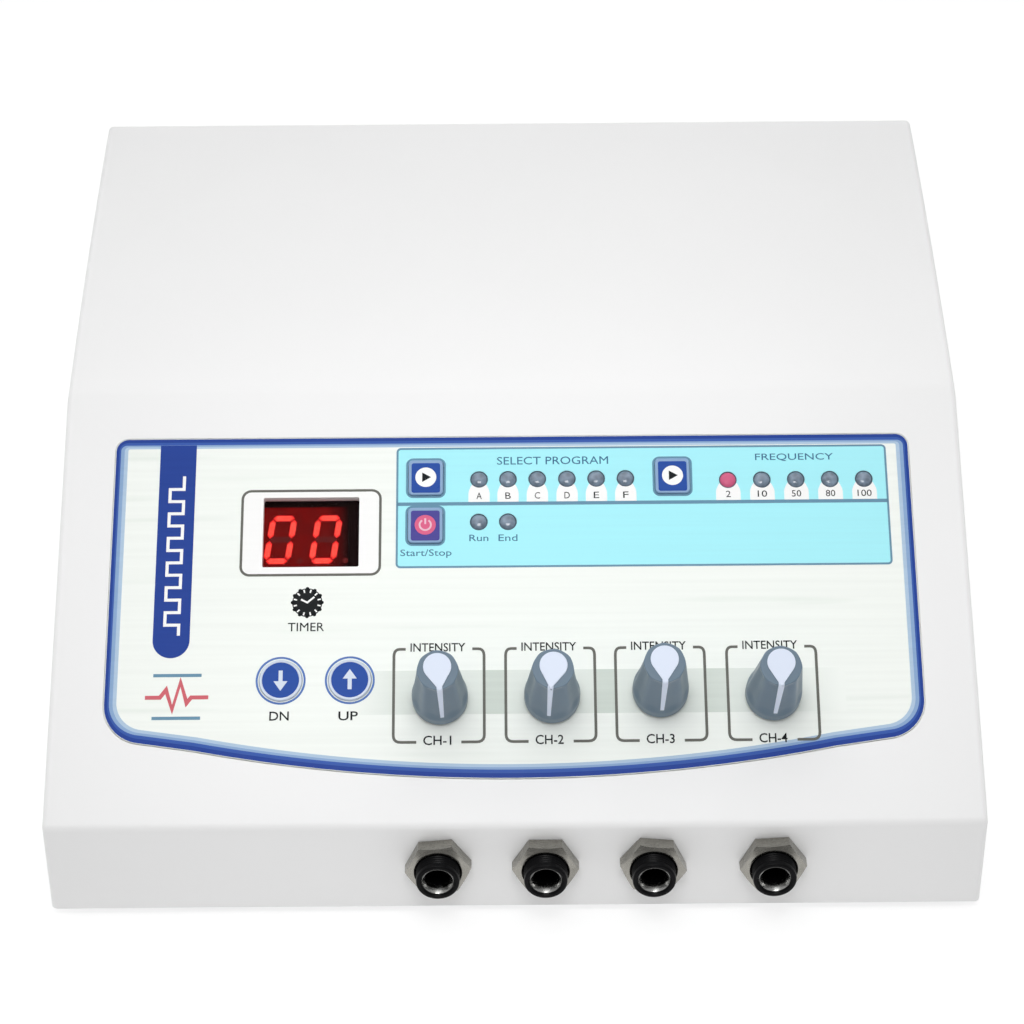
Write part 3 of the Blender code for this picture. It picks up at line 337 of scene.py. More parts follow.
def add_tube(shape, outlines, closed, finish=0):
    """Adds a solid through outlines in space: joined end to end, or with both ends capped.

    An outline of one point draws the solid to a tip."""
    rings = [[shape.verts.new(corner) for corner in outline] for outline in outlines]
    faces = []
    for one, two in zip(rings, rings[1:] + rings[:1] if closed else rings[1:]):
        sides = max(len(one), len(two))
        for i in range(sides):
            j = (i + 1) % sides
            corners = (one[i % len(one)], two[i % len(two)], two[j % len(two)], one[j % len(one)])
            faces.append(shape.faces.new(list(dict.fromkeys(corners))))
    if not closed:
        faces += [shape.faces.new(ring) for ring in (rings[0], rings[-1]) if len(ring) > 1]
    for face in faces:
        face.material_index = finish


def add_prism(shape, outline, low, high, finish=0):
    """Adds a straight prism over an outline of (x, y) points."""
    add_tube(shape, [[(x, y, height) for x, y in outline] for height in (low, high)], False, finish)


def prism(outline, low, high):
    shape = bmesh.new()
    add_prism(shape, outline, low, high)
    return shape


def side_prism(outline, half_width):
    """A prism along X over an outline of (y, z) points, whose half width is a function of z."""
    shape = bmesh.new()
    add_tube(shape, [[(side * half_width(z), y, z) for y, z in outline] for side in (-1, 1)], False)
    return shape


def add_stroke(shape, points, width, low, high, closed=False, finish=0):
    """Adds a flat line of one width along a path, with mitred corners."""
    count = len(points)
    rings = []
    for i, (x, y) in enumerate(points):
        directions = []
        if i > 0 or closed:
            directions.append(Vector((x - points[i - 1][0], y - points[i - 1][1])).normalized())
        if i < count - 1 or closed:
            after = points[(i + 1) % count]
            directions.append(Vector((after[0] - x, after[1] - y)).normalized())
        along = sum(directions, Vector((0.0, 0.0))).normalized()
        reach = width / 2 / max(0.4, abs(along.dot(directions[0])))
        left, right = ((x - side * along.y * reach, y + side * along.x * reach) for side in (1, -1))
        rings.append([(*left, low), (*right, low), (*right, high), (*left, high)])
    add_tube(shape, rings, closed, finish)


def add_band(shape, outer, inner, low, high, finish=0):
    """Adds the flat band between two outlines that have the same number of points."""
    rings = [[(*one, low), (*two, low), (*two, high), (*one, high)] for one, two in zip(outer, inner)]
    add_tube(shape, rings, True, finish)


def add_turned(shape, profile, sides, ripple=None, centre=(0.0, 0.0), finish=0):
    """Adds a body turned about Z from a rounded path of (radius, height). Ends off the axis are joined."""
    rings = []
    for radius, height in rounded_path(profile):
        ring = []
        for i in range(sides if radius else 1):
            angle = 2.0 * pi * i / sides
            here = radius - (ripple(angle, radius, height) if ripple else 0.0)
            ring.append((centre[0] + here * cos(angle), centre[1] + here * sin(angle), height))
        rings.append(ring)
    add_tube(shape, rings, profile[0][0] > 0.0 and profile[-1][0] > 0.0, finish)


def turned(profile, sides, ripple=None):
    shape = bmesh.new()
    add_turned(shape, profile, sides, ripple)
    return shape


def add_words(shape, words, centre, height, width, low, high, bold=0.0):
    """Adds lettering as thin solids: capitals of one height, the whole line fitted to one width."""
    curve = bpy.data.curves.new("words", "FONT")
    curve.body = words
    curve.extrude = 0.5
    curve.resolution_u = 3
    curve.offset = bold
    item = bpy.data.objects.new("words", curve)
    bpy.context.collection.objects.link(item)
    graph = bpy.context.evaluated_depsgraph_get()
    mesh = bpy.data.meshes.new_from_object(item.evaluated_get(graph))
    xs = [v.co.x for v in mesh.vertices]
    ys = [v.co.y for v in mesh.vertices]
    scale_x = width / (max(xs) - min(xs))
    scale_y = height / (max(ys) - min(ys))
    for vertex in mesh.vertices:
        x = (vertex.co.x - (max(xs) + min(xs)) / 2) * scale_x
        y = (vertex.co.y - (max(ys) + min(ys)) / 2) * scale_y
        vertex.co = (centre[0] + x, centre[1] + y, low if vertex.co.z < 0.0 else high)
    shape.from_mesh(mesh)
    bpy.data.objects.remove(item)
    bpy.data.curves.remove(curve)
    bpy.data.meshes.remove(mesh)


# Pieces


def new_object(name, shape, where, materials=()):
    """Turns a bmesh in millimetres in a working frame into an object whose mesh is in place, in metres."""
    bmesh.ops.recalc_face_normals(shape, faces=shape.faces)
    shape.transform(where)
    mesh = bpy.data.meshes.new(name)
    shape.to_mesh(mesh)
    shape.free()
    for material in materials:
        mesh.materials.append(material)
    item = bpy.data.objects.new(name, mesh)
    bpy.context.collection.objects.link(item)
    return item


def round_edges(item, width, segments, angle=30.0):
    step = item.modifiers.new("rounding", "BEVEL")
    step.width = width * MM
    step.segments = segments
    step.limit_method = "ANGLE"
    step.angle_limit = radians(angle)
    step.use_clamp_overlap = True


def cut(shape, where):
    return ("DIFFERENCE", shape, where)


def weld(shape, where):
    return ("UNION", shape, where)


def apply_tools(item, tools):
    """Cuts and welds a piece with other shapes, and makes that and its rounding final."""
    for operation, shape, where in tools:
        step = item.modifiers.new(operation, "BOOLEAN")
        step.operation = operation
        step.solver = "EXACT"
        step.object = new_object("tool", shape, where)
    used = [step.object for step in item.modifiers if step.type == "BOOLEAN"]
    graph = bpy.context.evaluated_depsgraph_get()
    mesh = bpy.data.meshes.new_from_object(item.evaluated_get(graph), depsgraph=graph)
    item.modifiers.clear()
    item.data = mesh
    for tool in used:
        bpy.data.objects.remove(tool)


def shade(item, angle):
    """Smooth faces with sharp edges kept, and normals led by the large faces."""
    item.data.shade_smooth()
    item.data.set_sharp_from_angle(angle=radians(angle))
    step = item.modifiers.new("even_normals", "WEIGHTED_NORMAL")
    step.keep_sharp = True


def piece(name, shape, where, finishes, body, stands_for=None, *,
          first=None, tools=(), last=None, angle=SHADE_ANGLE):
    """Makes one visible piece: rounded first, cut and welded, rounded last, then shaded to an angle."""
    item = new_object(name, shape, where, [MATERIALS[key] for key in finishes.split()])
    if first:
        round_edges(item, *first)
    if tools:
        apply_tools(item, tools)
    if last:
        round_edges(item, *last)
    if angle:
        shade(item, angle)
    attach(item, body)
    if stands_for:
        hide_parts(stands_for)


# Materials


def tint(red, green, blue, light=0.88):
    """Linear colour for a display colour, less what the studio light adds to it."""
    colour = []
    for value in (red, green, blue):
        share = value / 255.0
        linear = share / 12.92 if share <= 0.04045 else ((share + 0.055) / 1.055) ** 2.4
        colour.append(linear * light)
    return tuple(colour)


def scaled(colour, factor):
    return tuple(min(1.0, c * factor) for c in colour)


class Finish:
    """The nodes of a material or of the world, with the steps that they are built from."""

    def __init__(self, owner):
        owner.use_nodes = True
        self.owner = owner
        self.nodes = owner.node_tree.nodes
        self.join = owner.node_tree.links.new
        self.shader = self.nodes.get("Principled BSDF")

    def add(self, kind, inputs=None, **settings):
        node = self.nodes.new(kind)
        for key, value in settings.items():
            setattr(node, key, value)
        for key, value in (inputs or {}).items():
            node.inputs[key].default_value = value
        return node

    def texture(self, kind, inputs, stretch=(1.0, 1.0, 1.0), turn=(0.0, 0.0, 0.0)):
        """A pattern in the piece's own coordinates."""
        place = self.add("ShaderNodeTexCoord")
        mapping = self.add("ShaderNodeMapping", {"Scale": stretch, "Rotation": turn}, vector_type="POINT")
        pattern = self.add(kind, inputs)
        self.join(place.outputs["Object"], mapping.inputs["Vector"])
        self.join(mapping.outputs["Vector"], pattern.inputs["Vector"])
        return pattern

    def noise(self, scale, detail=3.0, stretch=(1.0, 1.0, 1.0), turn=(0.0, 0.0, 0.0), roughness=0.5):
        """Noise whose scale is in features per metre."""
        inputs = {"Scale": scale, "Detail": detail, "Roughness": roughness}
        return self.texture("ShaderNodeTexNoise", inputs, stretch, turn).outputs["Fac"]

    def spread(self, source, low, high, start=0.3, end=0.7):
        """Maps a noise's middle range to a range of values."""
        inputs = {"From Min": start, "From Max": end, "To Min": low, "To Max": high}
        node = self.add("ShaderNodeMapRange", inputs)
        self.join(source, node.inputs["Value"])
        return node.outputs["Result"]

    def blend(self, share, one, two):
        """Mixes two colours, each a tuple or another node's output, by a share."""
        node = self.add("ShaderNodeMix", data_type="RGBA")
        self.join(share, node.inputs["Factor"])
        for socket, value in ((node.inputs["A"], one), (node.inputs["B"], two)):
            if isinstance(value, tuple):
                socket.default_value = (*value, 1.0)
            else:
                self.join(value, socket)
        return node.outputs["Result"]

    def sum(self, operation, *values):
        """A sum over plain numbers and other nodes' outputs."""
        node = self.add("ShaderNodeMath", operation=operation)
        for target, value in zip(node.inputs, values):
            if isinstance(value, float):
                target.default_value = value
            else:
                self.join(value, target)
        return node.outputs["Value"]

    def axis(self, axis, kind="Object"):
        place = self.add("ShaderNodeTexCoord")
        split = self.add("ShaderNodeSeparateXYZ")
        self.join(place.outputs[kind], split.inputs["Vector"])
        return split.outputs[axis]

    def done(self, base=None, gloss=None, height=None, depth=0.0, glow=None):
        """Wires colour, roughness, glow and a bump of a depth in millimetres into the shader."""
        for source, key in ((base, "Base Color"), (gloss, "Roughness"), (glow, "Emission Strength")):
            if source is not None:
                self.join(source, self.shader.inputs[key])
        if height is not None:
            node = self.add("ShaderNodeBump", {"Strength": 1.0, "Distance": depth * MM})
            self.join(height, node.inputs["Height"])
            self.join(node.outputs["Normal"], self.shader.inputs["Normal"])
        return self.owner


def start_material(name, colour, roughness, metallic=0.0, coat=0.0, specular=0.2, glow=(1.0, 1.0, 1.0)):
    made = Finish(bpy.data.materials.new(name))
    values = {
        "Base Color": (*colour, 1.0),
        "Roughness": roughness,
        "Metallic": metallic,
        "Coat Weight": coat,
        "Specular IOR Level": specular,
        "Emission Color": (*glow, 1.0),
    }
    for key, value in values.items():
        made.shader.inputs[key].default_value = value
    return made


def moulded(name, colour, roughness, grain=2600.0, depth=0.012, mottle=0.03, edge_paling=0.0, specular=0.2):
    """Moulded plastic or rubber: fine grain, slight clouding, uneven gloss and edges made paler where the
    surface is most convex.
    """
    made = start_material(name, colour, roughness, specular=specular)
    cloud = made.spread(made.noise(14.0, 4.0), 0.0, 1.0)
    base = made.blend(cloud, scaled(colour, 1.0 - mottle), scaled(colour, 1.0 + mottle))
    speck = made.spread(made.noise(900.0, 2.0), 0.0, 0.35, 0.62, 0.78)
    base = made.blend(speck, base, scaled(colour, 1.0 - 2.0 * mottle))
    if edge_paling:
        # convex edges are mixed towards a paler colour, by how sharply the surface bends there
        geometry = made.add("ShaderNodeNewGeometry")
        edge = made.spread(geometry.outputs["Pointiness"], 0.0, edge_paling, 0.505, 0.56)
        base = made.blend(edge, base, scaled(colour, 1.6))
    gloss = made.spread(made.noise(60.0, 5.0), roughness - 0.06, roughness + 0.06)
    return made.done(base, gloss, made.noise(grain, 3.0), depth)


def printed(name, colour, roughness=0.42, streak=0.03):
    """Screen-printed ink on the label: faint streaks along X from the brushed film, a little unevenness."""
    made = start_material(name, colour, roughness, specular=0.12)
    streaks = made.noise(1.0, 4.0, (14.0, 900.0, 900.0), (-PANEL_SLOPE, 0.0, 0.0))
    share = made.spread(streaks, 0.0, 1.0)
    base = made.blend(share, scaled(colour, 1.0 - streak), scaled(colour, 1.0 + streak))
    gloss = made.spread(made.noise(220.0, 4.0), roughness - 0.07, roughness + 0.07)
    return made.done(base, gloss, streaks, 0.004)


def metal(name, colour, roughness, scratch=(1.0, 1.0, 1.0), scale=400.0, depth=0.004, tarnish=0.12):
    """Plated or bare metal with tool marks, small stains and uneven polish."""
    made = start_material(name, colour, roughness, 1.0, specular=0.5)
    stain = made.spread(made.noise(160.0, 5.0), 0.0, 1.0, 0.4, 0.75)
    base = made.blend(stain, colour, scaled(colour, 1.0 - 2.0 * tarnish))
    marks = made.noise(scale, 5.0, scratch, roughness=0.65)
    gloss = made.spread(marks, roughness - 0.08, roughness + 0.14)
    return made.done(base, gloss, marks, depth)


def make_label_material():
    """Off-white printed film with a horizontal brushed pattern under it."""
    colour = tint(249, 253, 248, 0.98)
    made = start_material("label_film", colour, 0.36, specular=0.12)
    turn = (-PANEL_SLOPE, 0.0, 0.0)
    fine = made.spread(made.noise(1.0, 5.0, (9.0, 700.0, 700.0), turn), 0.0, 1.0)
    base = made.blend(fine, scaled(colour, 0.975), scaled(colour, 1.02))
    lines = made.noise(1.0, 2.0, (16.0, 260.0, 260.0), turn, 0.4)
    base = made.blend(made.spread(lines, 0.0, 0.5, 0.62, 0.78), base, tint(228, 236, 228, 1.0))
    gloss = made.spread(made.noise(120.0, 4.0), 0.30, 0.44)
    return made.done(base, gloss, fine, 0.004)


def make_band_material():
    """Grey-green band behind the knobs: it fades out towards both ends and is paler inside each frame."""
    made = Finish(printed("ink_band", tint(210, 219, 211, 1.0)))
    shown = made.shader.inputs["Base Color"].links[0].from_socket
    x = made.axis("X")
    right = made.spread(x, 0.0, 1.0, 0.050, 0.088)
    left = made.spread(x, 1.0, 0.0, -0.045, -0.018)
    share = made.sum("MAXIMUM", right, left)
    for low, high in KNOB_FRAMES:
        inside = made.sum("COMPARE", x, (low + high) / 2 * MM, (high - low) / 2 * MM)
        share = made.sum("MAXIMUM", share, made.sum("MULTIPLY", inside, 0.5))
    return made.done(made.blend(share, shown, tint(249, 253, 248, 0.98)))


def make_filter_material():
    """Smoke-clear filter window: a thin pane that shows the display, with a faintly glossy outer skin."""
    made = start_material("display_filter", (0.05, 0.005, 0.005), 0.06)
    clear = made.add("ShaderNodeBsdfTransparent", {"Color": (0.95, 0.86, 0.86, 1.0)})
    gloss = made.add("ShaderNodeBsdfGlossy", {"Roughness": 0.05, "Color": (0.06, 0.05, 0.05, 1.0)})
    rim = made.add("ShaderNodeFresnel", {"IOR": 1.45})
    side = made.add("ShaderNodeNewGeometry")
    mix = made.add("ShaderNodeMixShader")
    made.join(made.spread(made.noise(180.0, 4.0), 0.03, 0.10), gloss.inputs["Roughness"])
    outer = made.sum("SUBTRACT", 1.0, side.outputs["Backfacing"])
    made.join(made.sum("MULTIPLY", rim.outputs["Fac"], outer), mix.inputs["Fac"])
    made.join(clear.outputs["BSDF"], mix.inputs[1])
    made.join(gloss.outputs["BSDF"], mix.inputs[2])
    made.join(mix.outputs["Shader"], made.nodes["Material Output"].inputs["Surface"])
    made.nodes.remove(made.shader)
    return made.owner


def make_display_face():
    """Face of the display block: near black, lit red round the digits and dark at its right-hand end."""
    dark, red = (0.010, 0.002, 0.002), (1.0, 0.012, 0.01)
    made = start_material("display_face", dark, 0.5, specular=0.05, glow=red)
    fade = made.spread(made.axis("X"), 1.0, 0.0, -0.0515, -0.0455)
    cloud = made.spread(made.noise(320.0, 3.0), 0.75, 1.15)
    glow = made.sum("MULTIPLY", made.sum("MULTIPLY", fade, cloud), 0.16)
    return made.done(height=made.noise(3000.0, 2.0), depth=0.01, glow=glow)


def lit(name, colour, glow, strength):
    """A lit surface whose brightness clouds a little."""
    made = start_material(name, colour, 0.3, glow=glow)
    level = made.spread(made.noise(700.0, 3.0), strength * 0.8, strength * 1.2)
    return made.done(glow=level)


def make_lens_material():
    """Unlit lamp: smoky clear resin, its colour broken into darker and lighter cells that are painted shade
    and painted highlight standing in for the lens's reflections.
    """
    colour = tint(128, 144, 162)
    made = start_material("lamp_lens", colour, 0.16, coat=0.7)
    painted_glint_cells = made.texture("ShaderNodeTexVoronoi", {"Scale": 620.0})
    share = made.spread(painted_glint_cells.outputs["Distance"], 0.0, 1.0, 0.2, 0.9)
    # painted highlight and painted shade: the lens colour is made lighter and darker cell by cell, in place
    # of its reflections
    base = made.blend(share, scaled(colour, 0.72), scaled(colour, 1.25))
    return made.done(base, None, made.noise(900.0, 2.0), 0.02)


def make_board_material():
    """Circuit board: green mask over traces, with a fine glass weave."""
    colour = (0.02, 0.15, 0.06)
    made = start_material("board_mask", colour, 0.4, coat=0.3)
    traces = made.texture("ShaderNodeTexBrick", {"Scale": 160.0, "Mortar Size": 0.04})
    base = made.blend(traces.outputs["Fac"], colour, (0.05, 0.26, 0.10))
    return made.done(base, None, made.noise(1500.0, 2.0), 0.02)


INKS = {
    "navy": ("ink_navy", (40, 72, 160)),
    "blue": ("ink_blue", (62, 98, 182)),
    "sky": ("ink_light_blue", (150, 182, 222)),
    "pale": ("ink_pale_blue", (190, 214, 238)),
    "slate": ("ink_slate", (112, 156, 182)),
    "ring": ("ink_ring_blue", (92, 128, 196)),
    "teal": ("ink_teal", (66, 118, 156)),
    "grey": ("ink_grey", (112, 112, 106)),
    "dark": ("ink_dark", (20, 25, 27)),
    "coral": ("ink_coral", (222, 110, 120)),
    "pink": ("ink_pink", (236, 108, 148)),
    "pale_pink": ("ink_pale_pink", (250, 206, 222)),
}


def make_materials():
    for key, (name, colour) in INKS.items():
        MATERIALS[key] = printed(name, tint(*colour))
    MATERIALS.update({
        "case": moulded("case_abs", tint(246, 246, 246, 0.97), 0.46, 2200.0, 0.010, 0.008, 0.25),
        "tray": moulded("tray_abs", (0.30, 0.31, 0.32), 0.55, 1800.0, 0.02, 0.04, 0.3),
        "label": make_label_material(),
        "cyan": printed("ink_cyan", tint(174, 246, 255, 0.97), 0.38, 0.012),
        "white": printed("ink_white", tint(253, 253, 252, 0.98), 0.4, 0.01),
        "band": make_band_material(),
        "filter": make_filter_material(),
        "face": make_display_face(),
        "segment": lit("segment_lit", (0.3, 0.01, 0.01), (1.0, 0.022, 0.02), 0.85),
        "segment_core": lit("segment_core", (0.4, 0.03, 0.02), (1.0, 0.10, 0.07), 0.95),
        "segment_off": lit("segment_off", (0.02, 0.002, 0.002), (1.0, 0.012, 0.01), 0.09),
        "module": moulded("module_shell", (0.008, 0.004, 0.004), 0.6, specular=0.05),
        "knob": moulded("knob_shell", tint(112, 131, 147), 0.36, 1500.0, 0.012, 0.03, 0.35),
        "pointer": moulded("pointer_insert", tint(226, 235, 252, 0.92), 0.38, 1500.0, 0.008, 0.01),
        "nickel": metal("nickel_plate", (0.33, 0.32, 0.29), 0.24, (1.0, 5.0, 1.0)),
        "chrome": metal("ferrule_plate", (0.42, 0.42, 0.41), 0.2, scale=700.0),
        "pot": metal("pot_can", (0.55, 0.56, 0.58), 0.4),
        "zinc": metal("screw_plate", (0.60, 0.60, 0.57), 0.34),
        "black": moulded("bushing_black", (0.003, 0.003, 0.0035), 0.35, 1600.0, 0.010, 0.1, 0.3, 0.08),
        "inlet": moulded("inlet_black", (0.016, 0.016, 0.017), 0.42, 2000.0, 0.02, 0.1, 0.5, 0.35),
        "key_rim": moulded("key_rim", tint(150, 180, 216), 0.34, 1500.0, 0.008, 0.02),
        "key_white": moulded("key_white", tint(226, 236, 252), 0.34, 1500.0, 0.008, 0.01),
        "key_blue": printed("key_ink_blue", tint(44, 84, 172), 0.34),
        "key_violet": printed("key_ink_violet", tint(84, 78, 160), 0.34),
        "lens": make_lens_material(),
        "lens_rim": moulded("lamp_rim", tint(84, 106, 122), 0.3, 1500.0, 0.01, 0.05),
        "lens_lit": lit("lamp_lit", tint(206, 96, 134), (1.0, 0.16, 0.26), 0.10),
        "rubber": moulded("foot_rubber_moulded", (0.018, 0.018, 0.018), 0.8, 1200.0, 0.05, 0.15),
        "board": make_board_material(),
        "core": metal("core_laminate", (0.22, 0.22, 0.23), 0.5, (1.0, 1.0, 40.0), 60.0, 0.05),
        "ribbon": moulded("ribbon_pvc", (0.40, 0.41, 0.43), 0.55),
    })


# Case


def half_width(z, inset):
    return CASE_WIDTH / 2 - inset - (z - CASE_BOTTOM_Z) * tan(SIDE_DRAFT)


def case_solid(path, inset):
    outline = [(y + CASE_FRONT_Y, z) for y, z in path]
    return side_prism(outline, lambda z: half_width(z, inset))


def panel_holes(low, high):
    """Every opening through the sloping panel: window, keys, lamps and knob bushings."""
    shape = prism(rounded_rectangle(*WINDOW_SIZE, 0.5, WINDOW_CENTRE, 3), low, high)
    for place in ROUND_KEYS.values():
        add_prism(shape, circle(ROUND_KEY_RADIUS + HOLE_GAP, 56, place), low, high)
    for place in SQUARE_KEYS.values():
        size = grown(SQUARE_KEY_SIZE, HOLE_GAP)
        add_prism(shape, rounded_rectangle(*size, SQUARE_KEY_CORNER + HOLE_GAP, place), low, high)
    for place in [place for row in LAMP_ROWS.values() for place in row]:
        add_prism(shape, circle(LAMP_RADIUS + HOLE_GAP, 32, place), low, high)
    for place in KNOB_PLACES:
        add_prism(shape, circle(BUSHING_RADIUS + HOLE_GAP, 32, place), low, high)
    return shape


def make_cover():
    inner = offset_path(case_path(), WALL)
    inner = [(inner[0][0], inner[0][1] - WALL)] + inner + [(inner[-1][0], inner[-1][1] - WALL)]
    jack_holes = bmesh.new()
    for x in JACK_PLACES:
        add_prism(jack_holes, circle(JACK_RADIUS + HOLE_GAP, 56, (x, JACK_UP)), -WALL - 1.0, 1.0)
    below = prism(rectangle(1.2 * CASE_WIDTH, 1.2 * CASE_WIDTH), -2.0 * TRIM_DEPTH, CASE_BOTTOM_Z)
    tools = [
        cut(below, GROUND),
        cut(case_solid(inner, WALL), GROUND),
        cut(prism(label_outline(GAP), -LABEL_POCKET, 3.0), PANEL),
        cut(panel_holes(-WALL - 2.0, 1.0), PANEL),
        cut(jack_holes, FRONT),
        cut(prism(rectangle(*grown(INLET_BODY, HOLE_GAP)), -WALL - 1.0, 1.0), REAR),
    ]
    shape = case_solid(outer_path(), 0.0)
    first = (EDGE_ROUND, 7)
    piece("case_cover", shape, GROUND, "case", CASE, "top_cover", first=first, tools=tools)


def make_tray():
    inner = offset_path(case_path(), WALL + 0.4)
    low = CASE_FRONT_Y + inner[0][0] + 0.4
    high = CASE_FRONT_Y + inner[-1][0]
    half = half_width(CASE_BOTTOM_Z, WALL + 0.4)
    outline = rounded_rectangle(2 * half, high - low, 1.0, (0.0, (low + high) / 2))
    bore_top = CASE_BOTTOM_Z + SCREW_HEAD_THICK + GAP
    profile = [
        (0.0, 20.0), (SCREW_RADIUS + GAP, 20.0), (SCREW_RADIUS + GAP, bore_top),
        (SCREW_HEAD_RADIUS + GAP, bore_top), (SCREW_HEAD_RADIUS + GAP, CASE_BOTTOM_Z + 0.4),
        (SCREW_HEAD_RADIUS + GAP + 0.8, CASE_BOTTOM_Z - 0.4), (0.0, CASE_BOTTOM_Z - 0.4),
    ]
    cuts = bmesh.new()
    for x, y in SCREW_PLACES:
        add_turned(cuts, profile, 32, centre=(x, y + CASE_FRONT_Y))
    for x, y in FOOT_PLACES:
        pocket = circle(FOOT_RADIUS + GAP, 48, (x, y + CASE_FRONT_Y))
        add_prism(cuts, pocket, 0.0, CASE_BOTTOM_Z + FOOT_POCKET)
    for side in (-1, 1):
        for i in range(6):
            place = (side * 60.0, CASE_FRONT_Y + 70.0 + 9.0 * i)
            add_prism(cuts, rounded_rectangle(44.0, 2.6, 1.29, place), 0.0, 9.0)
    shape = prism(outline, CASE_BOTTOM_Z, CASE_BOTTOM_Z + TRAY_THICK)
    tools = [cut(cuts, GROUND)]
    piece("bottom_tray", shape, GROUND, "tray", CASE, "base_tray", tools=tools, last=(0.25, 2))


# Label


def layer(level):
    """Bottom and top of one printed layer: each stands a hair above the one below."""
    top = LABEL_PROUD + PRINT_THICK * level
    return top - PRINT_THICK - PRINT_SUNK, top


def make_label():
    shape = prism(label_outline(0.0), LABEL_PROUD - LABEL_THICK, LABEL_PROUD)
    tools = [cut(panel_holes(-1.0, 1.0), PANEL)]
    piece("label_sheet", shape, PANEL, "label", CASE, "front_label", tools=tools)


def print_piece(name, finishes, shape, pierced=False):
    tools = [cut(panel_holes(-1.0, 1.0), PANEL)] if pierced else ()
    piece(name, shape, PANEL, finishes, CASE, tools=tools, angle=None)


def print_strokes(name, finish, paths, width, level, closed=False):
    shape = bmesh.new()
    for path in paths:
        add_stroke(shape, path, width, *layer(level), closed)
    print_piece(name, finish, shape)


def border_edge(inset, wider, higher):
    """The label's outline inset evenly, then stretched at its sides and lifted along its bottom."""
    points = []
    for x, y in label_outline(-inset):
        low_part = (LABEL_TOP - y) / (LABEL_TOP - LABEL_LOW)
        points.append((x * (1.0 + wider / LABEL_HALF_WIDTH), y + higher * low_part))
    return points


def make_border_print():
    """Border of the label, from dark blue at its outer edge to pale blue inside."""
    edges = [
        border_edge(0.12, 0.0, 0.0),
        border_edge(1.1, 0.2, 0.3),
        border_edge(1.9, 0.5, 0.5),
        border_edge(2.4, 0.0, 0.65),
        border_edge(3.0, -0.4, 0.9),
    ]
    border = bmesh.new()
    for finish, (outer, inner) in enumerate(zip(edges, edges[1:])):
        add_band(border, outer, inner, *layer(1), finish)
    print_piece("print_border", "navy blue sky pale", border)


def make_tab_print():
    """Blue tab at the left with a plain pulse line on it."""
    left, right, round_y, top = TAB
    middle = (left + right) / 2
    outline = [(right, top), (left, top)]
    outline += arc((middle, round_y), (right - left) / 2, pi, 2.0 * pi, 24)
    print_piece("print_tab", "navy", prism(outline, *layer(2)))
    base, crest = middle + 1.9, middle - 1.9
    path = [(base, 53.5)]
    for i in range(6):
        start = 56.5 + 7.2 * i
        path += [(base, start), (crest, start), (crest, start + 3.6), (base, start + 3.6)]
    print_strokes("print_tab_pulse", "white", [path + [(base, 100.0)]], 0.85, 3)


def strip_outline():
    left, right, low, high = STRIP
    return rounded_rectangle(right - left, high - low, 1.0, ((left + right) / 2, (low + high) / 2))


def lamp_tab(x, width):
    low, high = 91.7, 97.0
    half, shoulder = width / 2, width * 0.34
    path = [
        (x - half, low), (x + half, low), (x + half, low + 3.0, 0.8), (x + shoulder, high, 0.8),
        (x - shoulder, high, 0.8), (x - half, low + 3.0, 0.8), (x - half, low),
    ]
    return rounded_path(path)[:-1]


def make_ground_prints():
    """Coloured strip, white grounds of the display frame and of the lamps' captions, and the knob band."""
    print_piece("print_strip", "cyan", prism(strip_outline(), *layer(1)), pierced=True)
    white = prism(rounded_rectangle(*DISPLAY_FRAME), *layer(1))
    for row, width in (("program_leds", 5.9), ("frequency_leds", 6.8)):
        for x, _ in LAMP_ROWS[row]:
            add_prism(white, lamp_tab(x, width), *layer(2))
    print_piece("print_white", "white", white, pierced=True)
    band = prism(rectangle(135.0, 12.3, (21.5, 36.9)), *layer(1))
    print_piece("print_knob_band", "band", band, pierced=True)


def make_frame_print():
    """Grey outlines: display frame and the broken frames round the knobs."""
    grey = bmesh.new()
    for left, right in KNOB_FRAMES:
        middle = (left + right) / 2
        for side, edge in ((-1, left), (1, right)):
            path = [
                (middle + side * 9.0, FRAME_TOP), (edge, FRAME_TOP, 2.0), (edge, FRAME_LOW, 2.0),
                (middle + side * 6.0, FRAME_LOW),
            ]
            add_stroke(grey, rounded_path(path), 0.75, *layer(2))
    add_stroke(grey, rounded_rectangle(*DISPLAY_FRAME), 0.7, *layer(2), closed=True)
    print_piece("print_frames", "grey", grey)


def make_strip_lines():
    """Blue-grey outlines of the strip and of the keys, and the captions on the strip."""
    slate = bmesh.new()
    left, right = STRIP[:2]
    add_stroke(slate, strip_outline(), 0.55, *layer(2), closed=True)
    add_stroke(slate, [(left, STRIP_DIVIDER), (right, STRIP_DIVIDER)], 1.0, *layer(2))
    for place in SQUARE_KEYS.values():
        ring = rounded_rectangle(*grown(SQUARE_KEY_SIZE, 0.42), SQUARE_KEY_CORNER + 0.42, place)
        add_stroke(slate, ring, 0.56, *layer(2), closed=True)
    print_piece("print_strip_lines", "slate", slate)
    rings = [circle(ROUND_KEY_RADIUS + 0.65, 64, place) for place in ROUND_KEYS.values()]
    print_strokes("print_key_rings", "ring", rings, 0.55, 2, closed=True)
    shape = bmesh.new()
    for words, centre, height, width in (
        ("SELECT PROGRAM", (11.2, 103.9), 2.3, 30.8),
        ("FREQUENCY", (78.2, 104.3), 2.3, 21.6),
        ("Start/Stop", (-23.8, 76.6), 2.5, 14.0),
        ("Run", (-9.3, 81.1), 1.9, 5.2),
        ("End", (-1.3, 81.1), 1.9, 5.2),
    ):
        add_words(shape, words, centre, height, width, *layer(2))
    print_piece("print_strip_words", "teal", shape)


